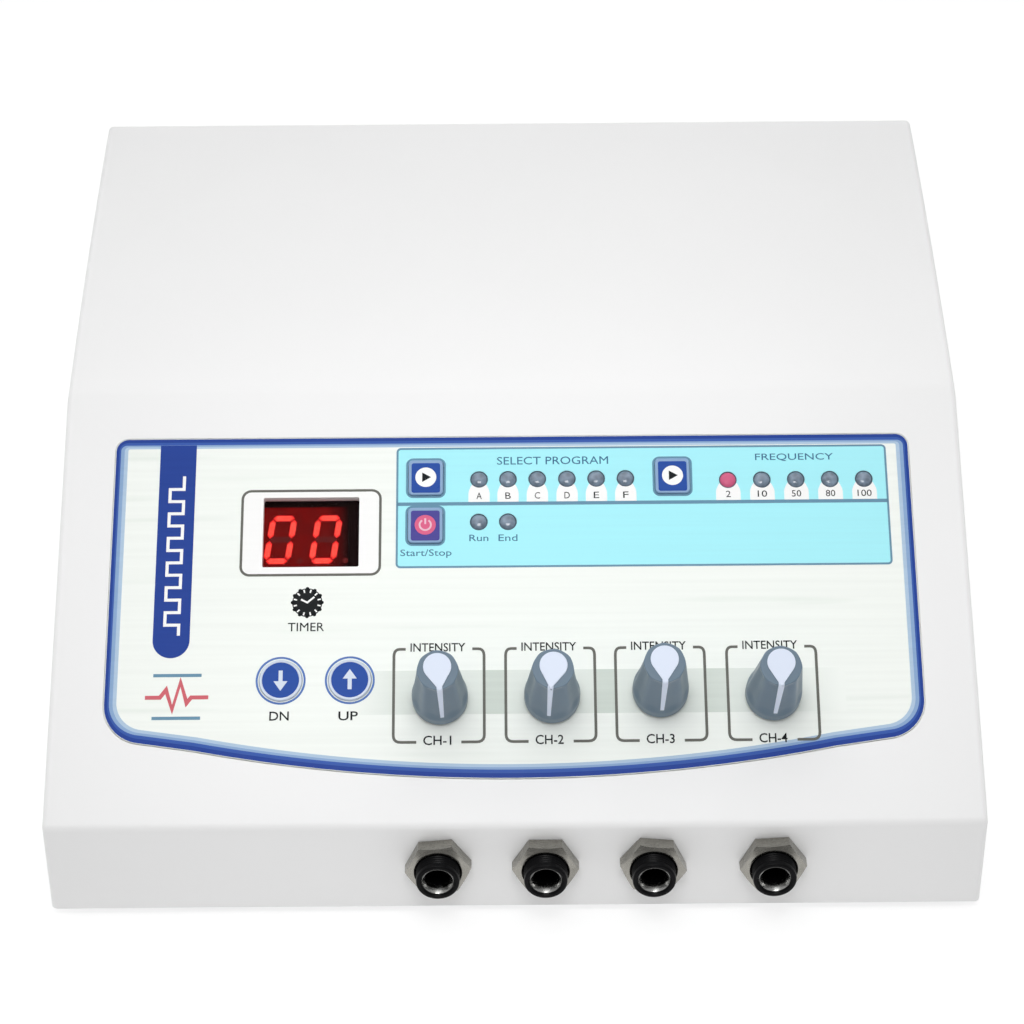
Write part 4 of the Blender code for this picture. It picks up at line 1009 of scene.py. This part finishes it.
def make_dark_print():
    """Dark captions, and the small clock over the timer keys."""
    bold = 0.008
    dark = bmesh.new()
    for number, (left, right) in enumerate(KNOB_FRAMES, 1):
        middle = (left + right) / 2
        add_words(dark, "INTENSITY", (middle - 0.3, FRAME_TOP + 0.5), 2.4, 14.8, *layer(2), bold)
        add_words(dark, "CH-" + str(number), (middle - 0.4, FRAME_LOW + 0.5), 2.6, 7.5, *layer(2), bold)
    add_words(dark, "TIMER", (-56.2, 55.7), 2.4, 9.8, *layer(2))
    add_words(dark, "DN", (-62.9, 30.6), 2.5, 5.2, *layer(2), bold)
    add_words(dark, "UP", (-44.4, 30.5), 2.5, 5.2, *layer(2), bold)
    for captions, row, width in (
        (PROGRAM_CAPTIONS, "program_leds", 1.5), (FREQUENCY_CAPTIONS, "frequency_leds", 1.3),
    ):
        for words, (x, _) in zip(captions, LAMP_ROWS[row]):
            add_words(dark, words, (x, 93.5), 1.9, width * len(words), *layer(3))
    add_prism(dark, circle(4.1, 48, CLOCK), *layer(1))
    for spot in circle(4.0, 12, CLOCK):
        add_prism(dark, circle(0.5, 12, spot), *layer(1))
    print_piece("print_dark", "dark", dark)
    hands = bmesh.new()
    for i in range(12):
        angle = pi * (i + 0.5) / 6
        ends = [arc(CLOCK, radius, angle, angle, 1)[0] for radius in (2.9, 3.8)]
        add_stroke(hands, ends, 0.4, *layer(2))
    tips = [(CLOCK[0] - 1.7, CLOCK[1] + 0.9), CLOCK, (CLOCK[0] + 1.9, CLOCK[1] + 1.6)]
    add_stroke(hands, tips, 0.5, *layer(2))
    print_piece("print_clock_marks", "white", hands)


def make_emblem_print():
    """A plain pulse trace between two bars, low on the left of the label."""
    xs = (-99.0, -95.0, -93.4, -91.6, -89.6, -87.8, -86.6, -82.0)
    ys = (36.0, 36.0, 38.2, 32.6, 40.4, 34.4, 36.0, 36.0)
    print_strokes("print_trace", "coral", [list(zip(xs, ys))], 1.1, 1)
    bars = [[(-97.0, y), (-84.0, y)] for y in (42.2, 30.2)]
    print_strokes("print_bars", "slate", bars, 0.9, 1)


# Display


def add_digit(shape, centre, shown):
    """One slanted seven-segment digit. Segments a to g, with finish 1 when lit and 2 when not."""
    width, height = DIGIT_SIZE
    bar = 1.75
    half_w, half_h = (width - bar) / 2, (height - bar) / 2
    columns, rows = (0, 1, 1, 0, -1, -1, 0), (2, 1, -1, -2, -1, 1, 0)
    for name, column, row in zip("abcdefg", columns, rows):
        x, y, upright = half_w * column, half_h * row / 2, column != 0
        length = (height / 2 if upright else width) - bar * 0.5
        half, tip = (length - bar * 0.4) / 2, bar / 2
        flat = half - tip
        outline = [(-half, 0.0), (-flat, -tip), (flat, -tip), (half, 0.0), (flat, tip), (-flat, tip)]
        points = []
        for px, py in outline:
            if upright:
                px, py = -py, px
            points.append((centre[0] + x + px + (y + py) * tan(DIGIT_SLANT), centre[1] + y + py))
        lighted = name in shown
        add_prism(shape, points, MODULE_TOP - 0.4, MODULE_TOP + 0.03, 1 if lighted else 2)
        if lighted:
            middle = [sum(values) / len(points) for values in zip(*points)]
            core = [[m + (p - m) * 0.8 for m, p in zip(middle, point)] for point in points]
            add_prism(shape, core, MODULE_TOP - 0.4, MODULE_TOP + 0.05, 3)


def make_display():
    low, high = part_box("display_module")
    centre = PANEL.inverted() @ ((low + high) / 2)
    x, y = centre.x, centre.y
    block = rounded_rectangle(*MODULE_SIZE[:2], 0.3, (x, y), 2)
    shape = prism(block, MODULE_TOP - MODULE_SIZE[2], MODULE_TOP)
    for side in (-1, 1):
        add_digit(shape, (x + side * 6.25, y), "abcdef")
    for offset in (-0.8, 11.7):
        add_prism(shape, circle(0.8, 16, (x + offset, y - 6.2)), MODULE_TOP - 0.4, MODULE_TOP + 0.02, 2)
    surround = rounded_rectangle(*grown(WINDOW_SIZE, 1.0), 0.5, WINDOW_CENTRE, 3)
    add_prism(shape, surround, MODULE_TOP - 1.6, MODULE_TOP - 0.8, 4)
    finishes, node = "face segment segment_off segment_core module", "display_module"
    piece("display_block", shape, PANEL, finishes, CASE, node, angle=None)
    outline = rounded_rectangle(*grown(WINDOW_SIZE, -GAP), 0.4, WINDOW_CENTRE, 3)
    pane, node = prism(outline, -2.6, -1.4), "display_window"
    piece("display_pane", pane, PANEL, "filter", CASE, node, last=(0.12, 2), angle=None)


# Keys and lamps


def make_round_key(name, place):
    radius = ROUND_KEY_RADIUS
    profile = [
        (0.0, KEY_TOP - 0.22), (5.0, KEY_TOP - 0.2), (5.15, KEY_TOP - 0.06, 0.1), (5.45, KEY_TOP, 0.12),
        (radius - 0.15, KEY_TOP - 0.02, 0.3), (radius, KEY_TOP - 0.6, 0.2), (radius, FLANGE_TOP, 0.1),
        (radius + 1.2, FLANGE_TOP), (radius + 1.2, FLANGE_TOP - 1.0), (2.0, FLANGE_TOP - 1.0),
        (2.0, STEM_END), (0.0, STEM_END),
    ]
    shape = turned(profile, 72)
    low, high = KEY_TOP - 0.24, KEY_TOP - 0.17
    add_prism(shape, circle(4.98, 64), low, high, 1)
    sign = 1.0 if name == "key_up" else -1.0
    arrow = [(-0.55, -2.7), (0.55, -2.7), (0.55, 0.3), (1.9, 0.3), (0.0, 3.0), (-1.9, 0.3), (-0.55, 0.3)]
    add_prism(shape, [(x, y * sign) for x, y in arrow], low, high + 0.03, 0)
    piece(name + "_cap", shape, at(PANEL, *place), "key_white key_blue", KEY_BODIES[name], name)


def make_square_key(name, place):
    where = at(PANEL, *place)
    body = prism(rounded_rectangle(*SQUARE_KEY_SIZE, SQUARE_KEY_CORNER), FLANGE_TOP - 0.5, KEY_TOP)
    tools = [
        weld(prism(rectangle(*grown(SQUARE_KEY_SIZE, 1.0)), FLANGE_TOP - 1.0, FLANGE_TOP), where),
        weld(prism(circle(2.0, 24), STEM_END, FLANGE_TOP - 0.6), where),
    ]
    moves = KEY_BODIES[name]
    piece(name + "_cap", body, where, "key_rim", moves, name, first=(0.4, 4), tools=tools)
    low, high = KEY_TOP - 0.03, KEY_TOP + 0.03
    ink = prism(rounded_rectangle(7.9, 8.8, 0.6, (0.0, -0.2), 4), low, high)
    add_prism(ink, circle(2.9, 48), low, high + 0.02, 1)
    if name == "key_start_stop":
        ring = arc((0.0, 0.0), 1.55, pi / 2 - 0.6, pi / 2 - 5.68, 24)
        for path in (ring, [(0.0, 0.2), (0.0, 1.9)]):
            add_stroke(ink, path, 0.5, low, high + 0.04, finish=2)
        finishes = "key_violet pink pale_pink"
    else:
        add_prism(ink, [(-1.0, -1.4), (1.45, 0.0), (-1.0, 1.4)], low, high + 0.04, 2)
        finishes = "key_blue white dark"
    piece(name + "_mark", ink, where, finishes, moves, angle=None)


def make_lamp_row(name, places):
    """Lamps standing on one spacer strip. The first frequency lamp is lit."""
    left = min(x for x, _ in places) - 3.0
    right = max(x for x, _ in places) + 3.0
    low = -BOARD_DEPTH + GAP
    lamp = [
        (0.0, LAMP_TOP), (LAMP_RADIUS * 0.55, LAMP_TOP - 0.08), (LAMP_RADIUS * 0.86, LAMP_TOP - 0.42),
        (LAMP_RADIUS, LAMP_TOP - 1.1, 0.4), (LAMP_RADIUS, low + 1.5), (0.0, low + 1.5),
    ]
    inner, outer, height = LAMP_RADIUS - 0.12, LAMP_RADIUS + 0.06, LAMP_TOP - 0.62
    rim = [(inner, height), (outer, height), (outer, -1.0), (inner, -1.0)]
    shape = bmesh.new()
    add_prism(shape, rectangle(right - left, 6.0, ((left + right) / 2, places[0][1])), low, low + 1.4, 1)
    for number, place in enumerate(places):
        glowing = name == "frequency_leds" and number == 0
        add_turned(shape, lamp, 36, centre=place, finish=2 if glowing else 0)
        add_turned(shape, rim, 36, centre=place, finish=1)
    piece(name + "_row", shape, PANEL, "lens lens_rim lens_lit", CASE, name, angle=40.0)


# Knobs


def knob_radius(height):
    part = (height - SKIRT_TOP) / (KNOB_TOP - SKIRT_TOP)
    return KNOB_BASE_RADIUS + (KNOB_TOP_RADIUS - KNOB_BASE_RADIUS) * part


def knob_ripple(angle, radius, height):
    """Finger flutes that rise out of the skirt and fade at the top edge. A ridge faces the pointer."""
    if height < SKIRT_TOP or height > KNOB_TOP - 0.1 or radius < KNOB_TOP_RADIUS - 0.2:
        return 0.0
    rise = min(1.0, (height - SKIRT_TOP) / 3.0)
    fade = min(1.0, (KNOB_TOP - height) / 1.5)
    swell = rise * rise * (3.0 - 2.0 * rise) * fade
    wave = abs(sin(FLUTES / 2 * (angle + pi / 2)))
    return FLUTE_DEPTH * swell * wave**1.5


def make_knob(channel, place, lean):
    number = str(channel)
    body = "intensity_knob_ch" + number
    where = at(PANEL, *place, 0.0, lean)
    profile = [(0.0, KNOB_TOP), (KNOB_TOP_RADIUS - 0.05, KNOB_TOP, 0.5)]
    steps = 18
    for i in range(1, steps):
        height = KNOB_TOP - 0.5 + (SKIRT_TOP + 0.2 - KNOB_TOP + 0.5) * i / steps
        profile.append((knob_radius(height), height))
    profile += [
        (KNOB_BASE_RADIUS, SKIRT_TOP, 1.0), (KNOB_BASE_RADIUS, KNOB_BOTTOM, 0.35), (6.3, KNOB_BOTTOM),
        (6.3, 3.4), (BUSHING_RADIUS + 0.6, 3.4), (BUSHING_RADIUS + 0.6, 5.1), (3.12, 5.1), (3.12, 18.4),
        (0.0, 18.4),
    ]
    shell = turned(profile, 96, knob_ripple)
    piece(body + "_shell", shell, where, "knob", body, "knob_ch" + number, angle=40.0)

    low, high = KNOB_TOP - 0.3, KNOB_TOP + 0.3
    top, end = -knob_radius(KNOB_TOP), -knob_radius(LINE_END)
    proud, deep = 0.3, 0.8
    outline = [
        (-3.3, low), (-3.3, high - 0.08), (top - proud + 0.5, high - 0.08), (top - proud, high - 0.6),
        (end - proud, LINE_END + 0.4), (end, LINE_END), (end + deep, LINE_END),
        (deep - knob_radius(low), low),
    ]
    line = side_prism(outline, lambda z: 0.75 * (0.65 if z < LINE_END + 1.0 else 1.0))
    plate = prism(teardrop(), low, high)
    piece(
        body + "_pointer", plate, where, "pointer", body, "knob_pointer_ch" + number,
        tools=[weld(line, where)], last=(0.16, 3, 35.0), angle=40.0,
    )


# Jacks


def make_jack(channel, x, turn):
    number = str(channel)
    where = at(FRONT, x, JACK_UP)
    profile = [(0.0, JACK_PROUD), (JACK_RADIUS - 0.15, JACK_PROUD, 0.45)]
    pitch, depth = 0.8, 0.2
    for i in range(int((JACK_PROUD - 1.3) / pitch)):
        height = JACK_PROUD - 1.1 - i * pitch
        profile += [
            (JACK_RADIUS, height), (JACK_RADIUS, height - 0.2 * pitch),
            (JACK_RADIUS - depth, height - 0.5 * pitch), (JACK_RADIUS - depth, height - 0.7 * pitch),
        ]
    back = FLANGE_TOP - 1.0
    profile += [(JACK_RADIUS, 0.2), (JACK_RADIUS, back), (0.0, back)]
    seat, lip = JACK_PROUD - FERRULE_DEPTH, JACK_PROUD - 0.5
    bore = [
        (0.0, JACK_PROUD + 1.0), (FERRULE_RADIUS + 0.6, JACK_PROUD + 1.0),
        (FERRULE_RADIUS + 0.2, JACK_PROUD - 0.1), (FERRULE_RADIUS - 0.22, lip),
        (FERRULE_RADIUS - 0.22, seat - GAP), (JACK_BORE, seat - GAP),
        (JACK_BORE, JACK_PROUD - JACK_BORE_DEPTH), (0.0, JACK_PROUD - JACK_BORE_DEPTH),
    ]
    box = prism(rounded_rectangle(*JACK_BOX[:2], 0.8), FLANGE_TOP - JACK_BOX[2], FLANGE_TOP)
    tools = [weld(turned(profile, 64), where), cut(turned(bore, 64), where)]
    jack = "jack_body_ch" + number
    piece("jack_shell_ch" + number, box, where, "black", CASE, jack, tools=tools)

    hole, rim = JACK_BORE - 0.25, FERRULE_RADIUS - 0.26
    ring = [
        (hole, lip - 1.9), (hole + 0.1, lip - 1.5), (hole + 0.35, lip - 0.8), (rim - 0.12, lip - 0.04),
        (rim, lip - 0.1), (rim, seat), (hole, seat),
    ]
    ring, ferrule = turned(ring, 64), "jack_ferrule_ch" + number
    piece("jack_ring_ch" + number, ring, where, "chrome", CASE, ferrule, angle=45.0)
    where = at(FRONT, x, JACK_UP, 0.0, turn)
    nut = "jack_nut_ch" + number
    piece("jack_hex_ch" + number, hex_nut(), where, "nickel", CASE, nut, angle=14.0)


def hex_nut():
    """Hexagonal nut with a turned outer face, so that its corners fall back, and a countersunk bore."""
    sides = 96
    flat = JACK_NUT_FLATS / 2
    edge = flat - 0.9
    bore = JACK_RADIUS + 0.12
    low, high = GAP, GAP + JACK_NUT_THICK
    stations = []
    for i in range(sides):
        angle = 2.0 * pi * i / sides
        reach = flat / cos((angle % (pi / 3)) - pi / 6)
        drop = (reach - edge) * tan(radians(24.0))
        profile = (
            (reach, low), (reach, high - drop), (edge, high), (bore + 0.5, high), (bore, high - 0.4),
            (bore, low),
        )
        stations.append([(r * cos(angle), r * sin(angle), height) for r, height in profile])
    shape = bmesh.new()
    add_tube(shape, stations, True)
    return shape


# Rear inlet


def socket_outline():
    width, height = SOCKET_SIZE[0] / 2, SOCKET_SIZE[1] / 2
    cut_back = 5.0
    path = [
        (0.0, -height), (width, -height, 1.0), (width, height - cut_back, 1.0),
        (width - cut_back, height, 1.0), (cut_back - width, height, 1.0), (-width, height - cut_back, 1.0),
        (-width, -height, 1.0), (0.0, -height),
    ]
    return [(x, y - SOCKET_DOWN) for x, y in rounded_path(path)[:-1]]


def make_inlet():
    face = INLET_FACE
    shape = prism(rounded_rectangle(*INLET_FLANGE[:2], 2.0), GAP, face)
    pockets = prism(socket_outline(), face - SOCKET_DEPTH, face + 1.0)
    drawer = rectangle(*grown(DRAWER_SIZE, GAP), (0.0, DRAWER_UP))
    add_prism(pockets, drawer, face - DRAWER_DEPTH - GAP, face + 1.0)
    rocker = rectangle(ROCKER_SIZE[0] + 1.0, ROCKER_SIZE[1] + 2 * GAP, (0.0, ROCKER_UP))
    add_prism(pockets, rocker, face - 9.0, face + 1.0)
    body = prism(rectangle(*INLET_BODY[:2]), GAP - INLET_BODY[2], face - 0.8)
    tools = [weld(body, REAR), cut(pockets, REAR)]
    name = "mains_inlet"
    piece(name + "_shell", shape, REAR, "inlet", CASE, name, first=(0.7, 4), tools=tools)

    blades = bmesh.new()
    for x, y in ((-7.0, -2.0), (7.0, -2.0), (0.0, 2.0)):
        add_prism(blades, rectangle(2.0, 4.0, (x, y - SOCKET_DOWN)), face - SOCKET_DEPTH - 0.5, face - 4.0)
    piece("mains_blades", blades, REAR, "nickel", CASE, last=(0.5, 3), angle=45.0)

    lines = bmesh.new()
    outer = rounded_rectangle(ROCKER_SIZE[0] + 3.0, ROCKER_SIZE[1] + 2.4, 0.8, (0.0, ROCKER_UP), 4)
    inner = rounded_rectangle(ROCKER_SIZE[0] + 1.2, ROCKER_SIZE[1] + 0.8, 0.3, (0.0, ROCKER_UP), 4)
    add_band(lines, outer, inner, face - 0.2, face + 0.35)
    add_stroke(lines, socket_outline(), 0.8, face - 0.2, face + 0.25, closed=True)
    piece(name + "_rims", lines, REAR, "inlet", CASE, last=(0.12, 2))


def make_drawer():
    where = at(REAR, 0.0, DRAWER_UP, INLET_FACE)
    shape = prism(rounded_rectangle(*DRAWER_SIZE, 0.5, (0.0, 0.0), 3), -DRAWER_DEPTH, 0.6)
    tools = [cut(prism(rounded_rectangle(10.0, 2.0, 0.6, (0.0, -2.4), 3), -1.0, 2.0), where)]
    name, body = "fuse_drawer", "fuse_holder"
    piece(name + "_shell", shape, where, "inlet", body, name, tools=tools, last=(0.2, 3))
    sign = bmesh.new()
    add_stroke(sign, rectangle(6.0, 1.8, (0.0, 1.4)), 0.25, 0.58, 0.64, closed=True)
    add_stroke(sign, [(-5.0, 1.4), (5.0, 1.4)], 0.25, 0.58, 0.64)
    piece("fuse_sign", sign, where, "white", body, angle=None)


def make_rocker():
    """The rocker's outline stands on edge across the flange and is tipped to its on position."""
    half = ROCKER_SIZE[0] / 2 - 0.9
    pivot = ROCKER_PIVOT_DEPTH
    outline = [
        (-half, pivot + 1.2), (-half, pivot - 3.0), (-3.0, pivot - 7.0), (3.0, pivot - 7.0),
        (half, pivot - 3.0), (half, pivot + 1.2),
    ]
    steps = 16
    for i in range(1, steps):
        x = half - 2 * half * i / steps
        outline.append((x, pivot + 0.2 + 1.0 * (x / half) ** 2))
    tip = Matrix.Rotation(ROCKER_TILT, 4, "Y") @ Matrix.Rotation(pi / 2, 4, "X")
    where = at(REAR, 0.0, ROCKER_UP, INLET_FACE - ROCKER_PIVOT_DEPTH) @ tip
    shape = prism(outline, -ROCKER_SIZE[1] / 2, ROCKER_SIZE[1] / 2)
    piece(
        "rocker_shell", shape, where, "inlet", "power_switch", "power_rocker",
        last=(0.35, 3, 40.0), angle=40.0,
    )


# Underside


def make_feet():
    top = CASE_BOTTOM_Z + FOOT_POCKET - GAP
    profile = [
        (0.0, top), (FOOT_RADIUS, top), (FOOT_RADIUS, 0.0, 1.0), (4.6, 0.0, 0.2), (4.3, 0.5, 0.2),
        (2.4, 0.5, 0.2), (2.1, 0.0, 0.2), (0.0, 0.0),
    ]
    for number, (x, y) in enumerate(FOOT_PLACES, 1):
        name = "foot_" + str(number)
        where = at(GROUND, x, y + CASE_FRONT_Y)
        foot = turned(profile, 56)
        piece("rubber_" + name, foot, where, "rubber", CASE, name, angle=50.0)


def make_screws():
    low = 0.2
    neck = low + SCREW_HEAD_THICK - 0.2
    tip = low + SCREW_HEAD_THICK + SCREW_LENGTH - 2.0
    profile = [(0.0, tip), (0.5, tip), (SCREW_RADIUS - 0.3, tip - 1.2)]
    for i in range(14):
        height = tip - 1.4 - 0.6 * i
        profile += [(SCREW_RADIUS, height), (SCREW_RADIUS - 0.35, height - 0.3)]
    profile += [(SCREW_RADIUS - 0.35, neck), (SCREW_HEAD_RADIUS, neck, 0.2)]
    profile += [(SCREW_HEAD_RADIUS, low, 0.5), (0.0, low)]
    a, b = 1.8, 0.45
    cross = []
    for cosine, sine in ((1, 0), (0, 1), (-1, 0), (0, -1)):
        cross += [(x * cosine - y * sine, x * sine + y * cosine) for x, y in ((a, -b), (a, b), (b, b))]
    for number, (x, y) in enumerate(SCREW_PLACES, 1):
        name = "screw_" + str(number)
        where = at(GROUND, x, y + CASE_FRONT_Y, CASE_BOTTOM_Z)
        screw = turned(profile, 40)
        tools = [cut(prism(cross, -1.0, 0.9), where)]
        piece(name, screw, where, "zinc", CASE, "case_" + name, tools=tools, angle=40.0)


def dress_hidden_nodes():
    """CAD parts that keep their own shape get the detailed finishes."""
    finishes = {"display_board": "board", "main_board": "board", "transformer": "core"}
    finishes["ribbon_cable"] = "ribbon"
    for channel in range(1, 5):
        for kind, finish in (("body", "pot"), ("shaft", "nickel"), ("nut", "nickel")):
            finishes["pot_" + kind + "_ch" + str(channel)] = finish
    for name, finish in finishes.items():
        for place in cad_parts[name].material_slots:
            place.material = MATERIALS[finish]


# Studio


def make_floor():
    """White sweep, lit from within so that shadows on it stay faint."""
    material = moulded("floor_paper", (0.42, 0.42, 0.42), 0.9, 400.0, 0.02, 0.004, specular=0.0)
    inputs = material.node_tree.nodes["Principled BSDF"].inputs
    inputs["Emission Strength"].default_value = 0.67
    floor = new_object("floor", prism(rectangle(9000.0, 9000.0), -4.0, -0.02), GROUND, [material])


def add_area_light(name, place, target, size, power, spread_angle=180.0):
    light = bpy.data.lights.new(name, "AREA")
    light.shape = "RECTANGLE"
    light.size, light.size_y = size
    light.energy = power
    light.spread = radians(spread_angle)
    item = bpy.data.objects.new(name, light)
    item.location = place
    item.rotation_mode = "QUATERNION"
    item.rotation_quaternion = (Vector(target) - Vector(place)).to_track_quat("-Z", "Y")
    bpy.context.collection.objects.link(item)


def make_world():
    """Even white surround, a little brighter from the left and overhead, dimmer in front and behind."""
    world = bpy.data.worlds.new("studio")
    bpy.context.scene.world = world
    made = Finish(world)
    background = made.nodes["Background"].inputs
    background["Color"].default_value = (1.0, 1.0, 1.0, 1.0)
    strength = made.spread(made.axis("X", "Generated"), 0.84, 0.76, -0.8, 0.8)
    shares = (("Y", (0.40, 1.0, -0.7, 0.2)), ("Y", (1.0, 0.68, 0.3, 0.9)), ("Z", (0.75, 1.0, 0.0, 0.8)))
    for axis, limits in shares:
        share = made.spread(made.axis(axis, "Generated"), *limits)
        strength = made.sum("MULTIPLY", strength, share)
    made.join(strength, background["Strength"])


def make_camera():
    data = bpy.data.cameras.new("camera")
    data.sensor_width = 36.0
    data.lens = CAMERA_LENS
    data.clip_start, data.clip_end = 0.01, 20.0
    camera = bpy.data.objects.new("camera", data)
    bpy.context.collection.objects.link(camera)
    tilt = Matrix.Rotation(pi / 2 - CAMERA_PITCH, 4, "X") @ Matrix.Rotation(CAMERA_ROLL, 4, "Z")
    camera.matrix_world = Matrix.Translation(Vector(CAMERA_PLACE) * MM) @ tilt
    bpy.context.scene.camera = camera


def build():
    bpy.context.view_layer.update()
    make_materials()
    make_cover()
    make_tray()
    make_label()
    make_border_print()
    make_tab_print()
    make_ground_prints()
    make_frame_print()
    make_strip_lines()
    make_dark_print()
    make_emblem_print()
    make_display()
    for name, place in ROUND_KEYS.items():
        make_round_key(name, place)
    for name, place in SQUARE_KEYS.items():
        make_square_key(name, place)
    for name, places in LAMP_ROWS.items():
        make_lamp_row(name, places)
    for channel, (place, lean) in enumerate(zip(KNOB_PLACES, KNOB_LEANS), 1):
        make_knob(channel, place, lean)
    for channel, (x, turn) in enumerate(zip(JACK_PLACES, JACK_NUT_TURNS), 1):
        make_jack(channel, x, turn)
    make_inlet()
    make_drawer()
    make_rocker()
    make_feet()
    make_screws()
    dress_hidden_nodes()
    make_floor()
    make_world()
    add_area_light("overhead", (-0.10, 0.32, 1.3), (0.0, 0.0, 0.0), (1.5, 1.2), 5.0)
    add_area_light("panel_pool", (0.0, -0.29, 0.56), (0.0, -0.06, 0.06), (0.24, 0.16), 0.135, 60.0)
    make_camera()
    bpy.context.scene.view_settings.view_transform = "Standard"


build()
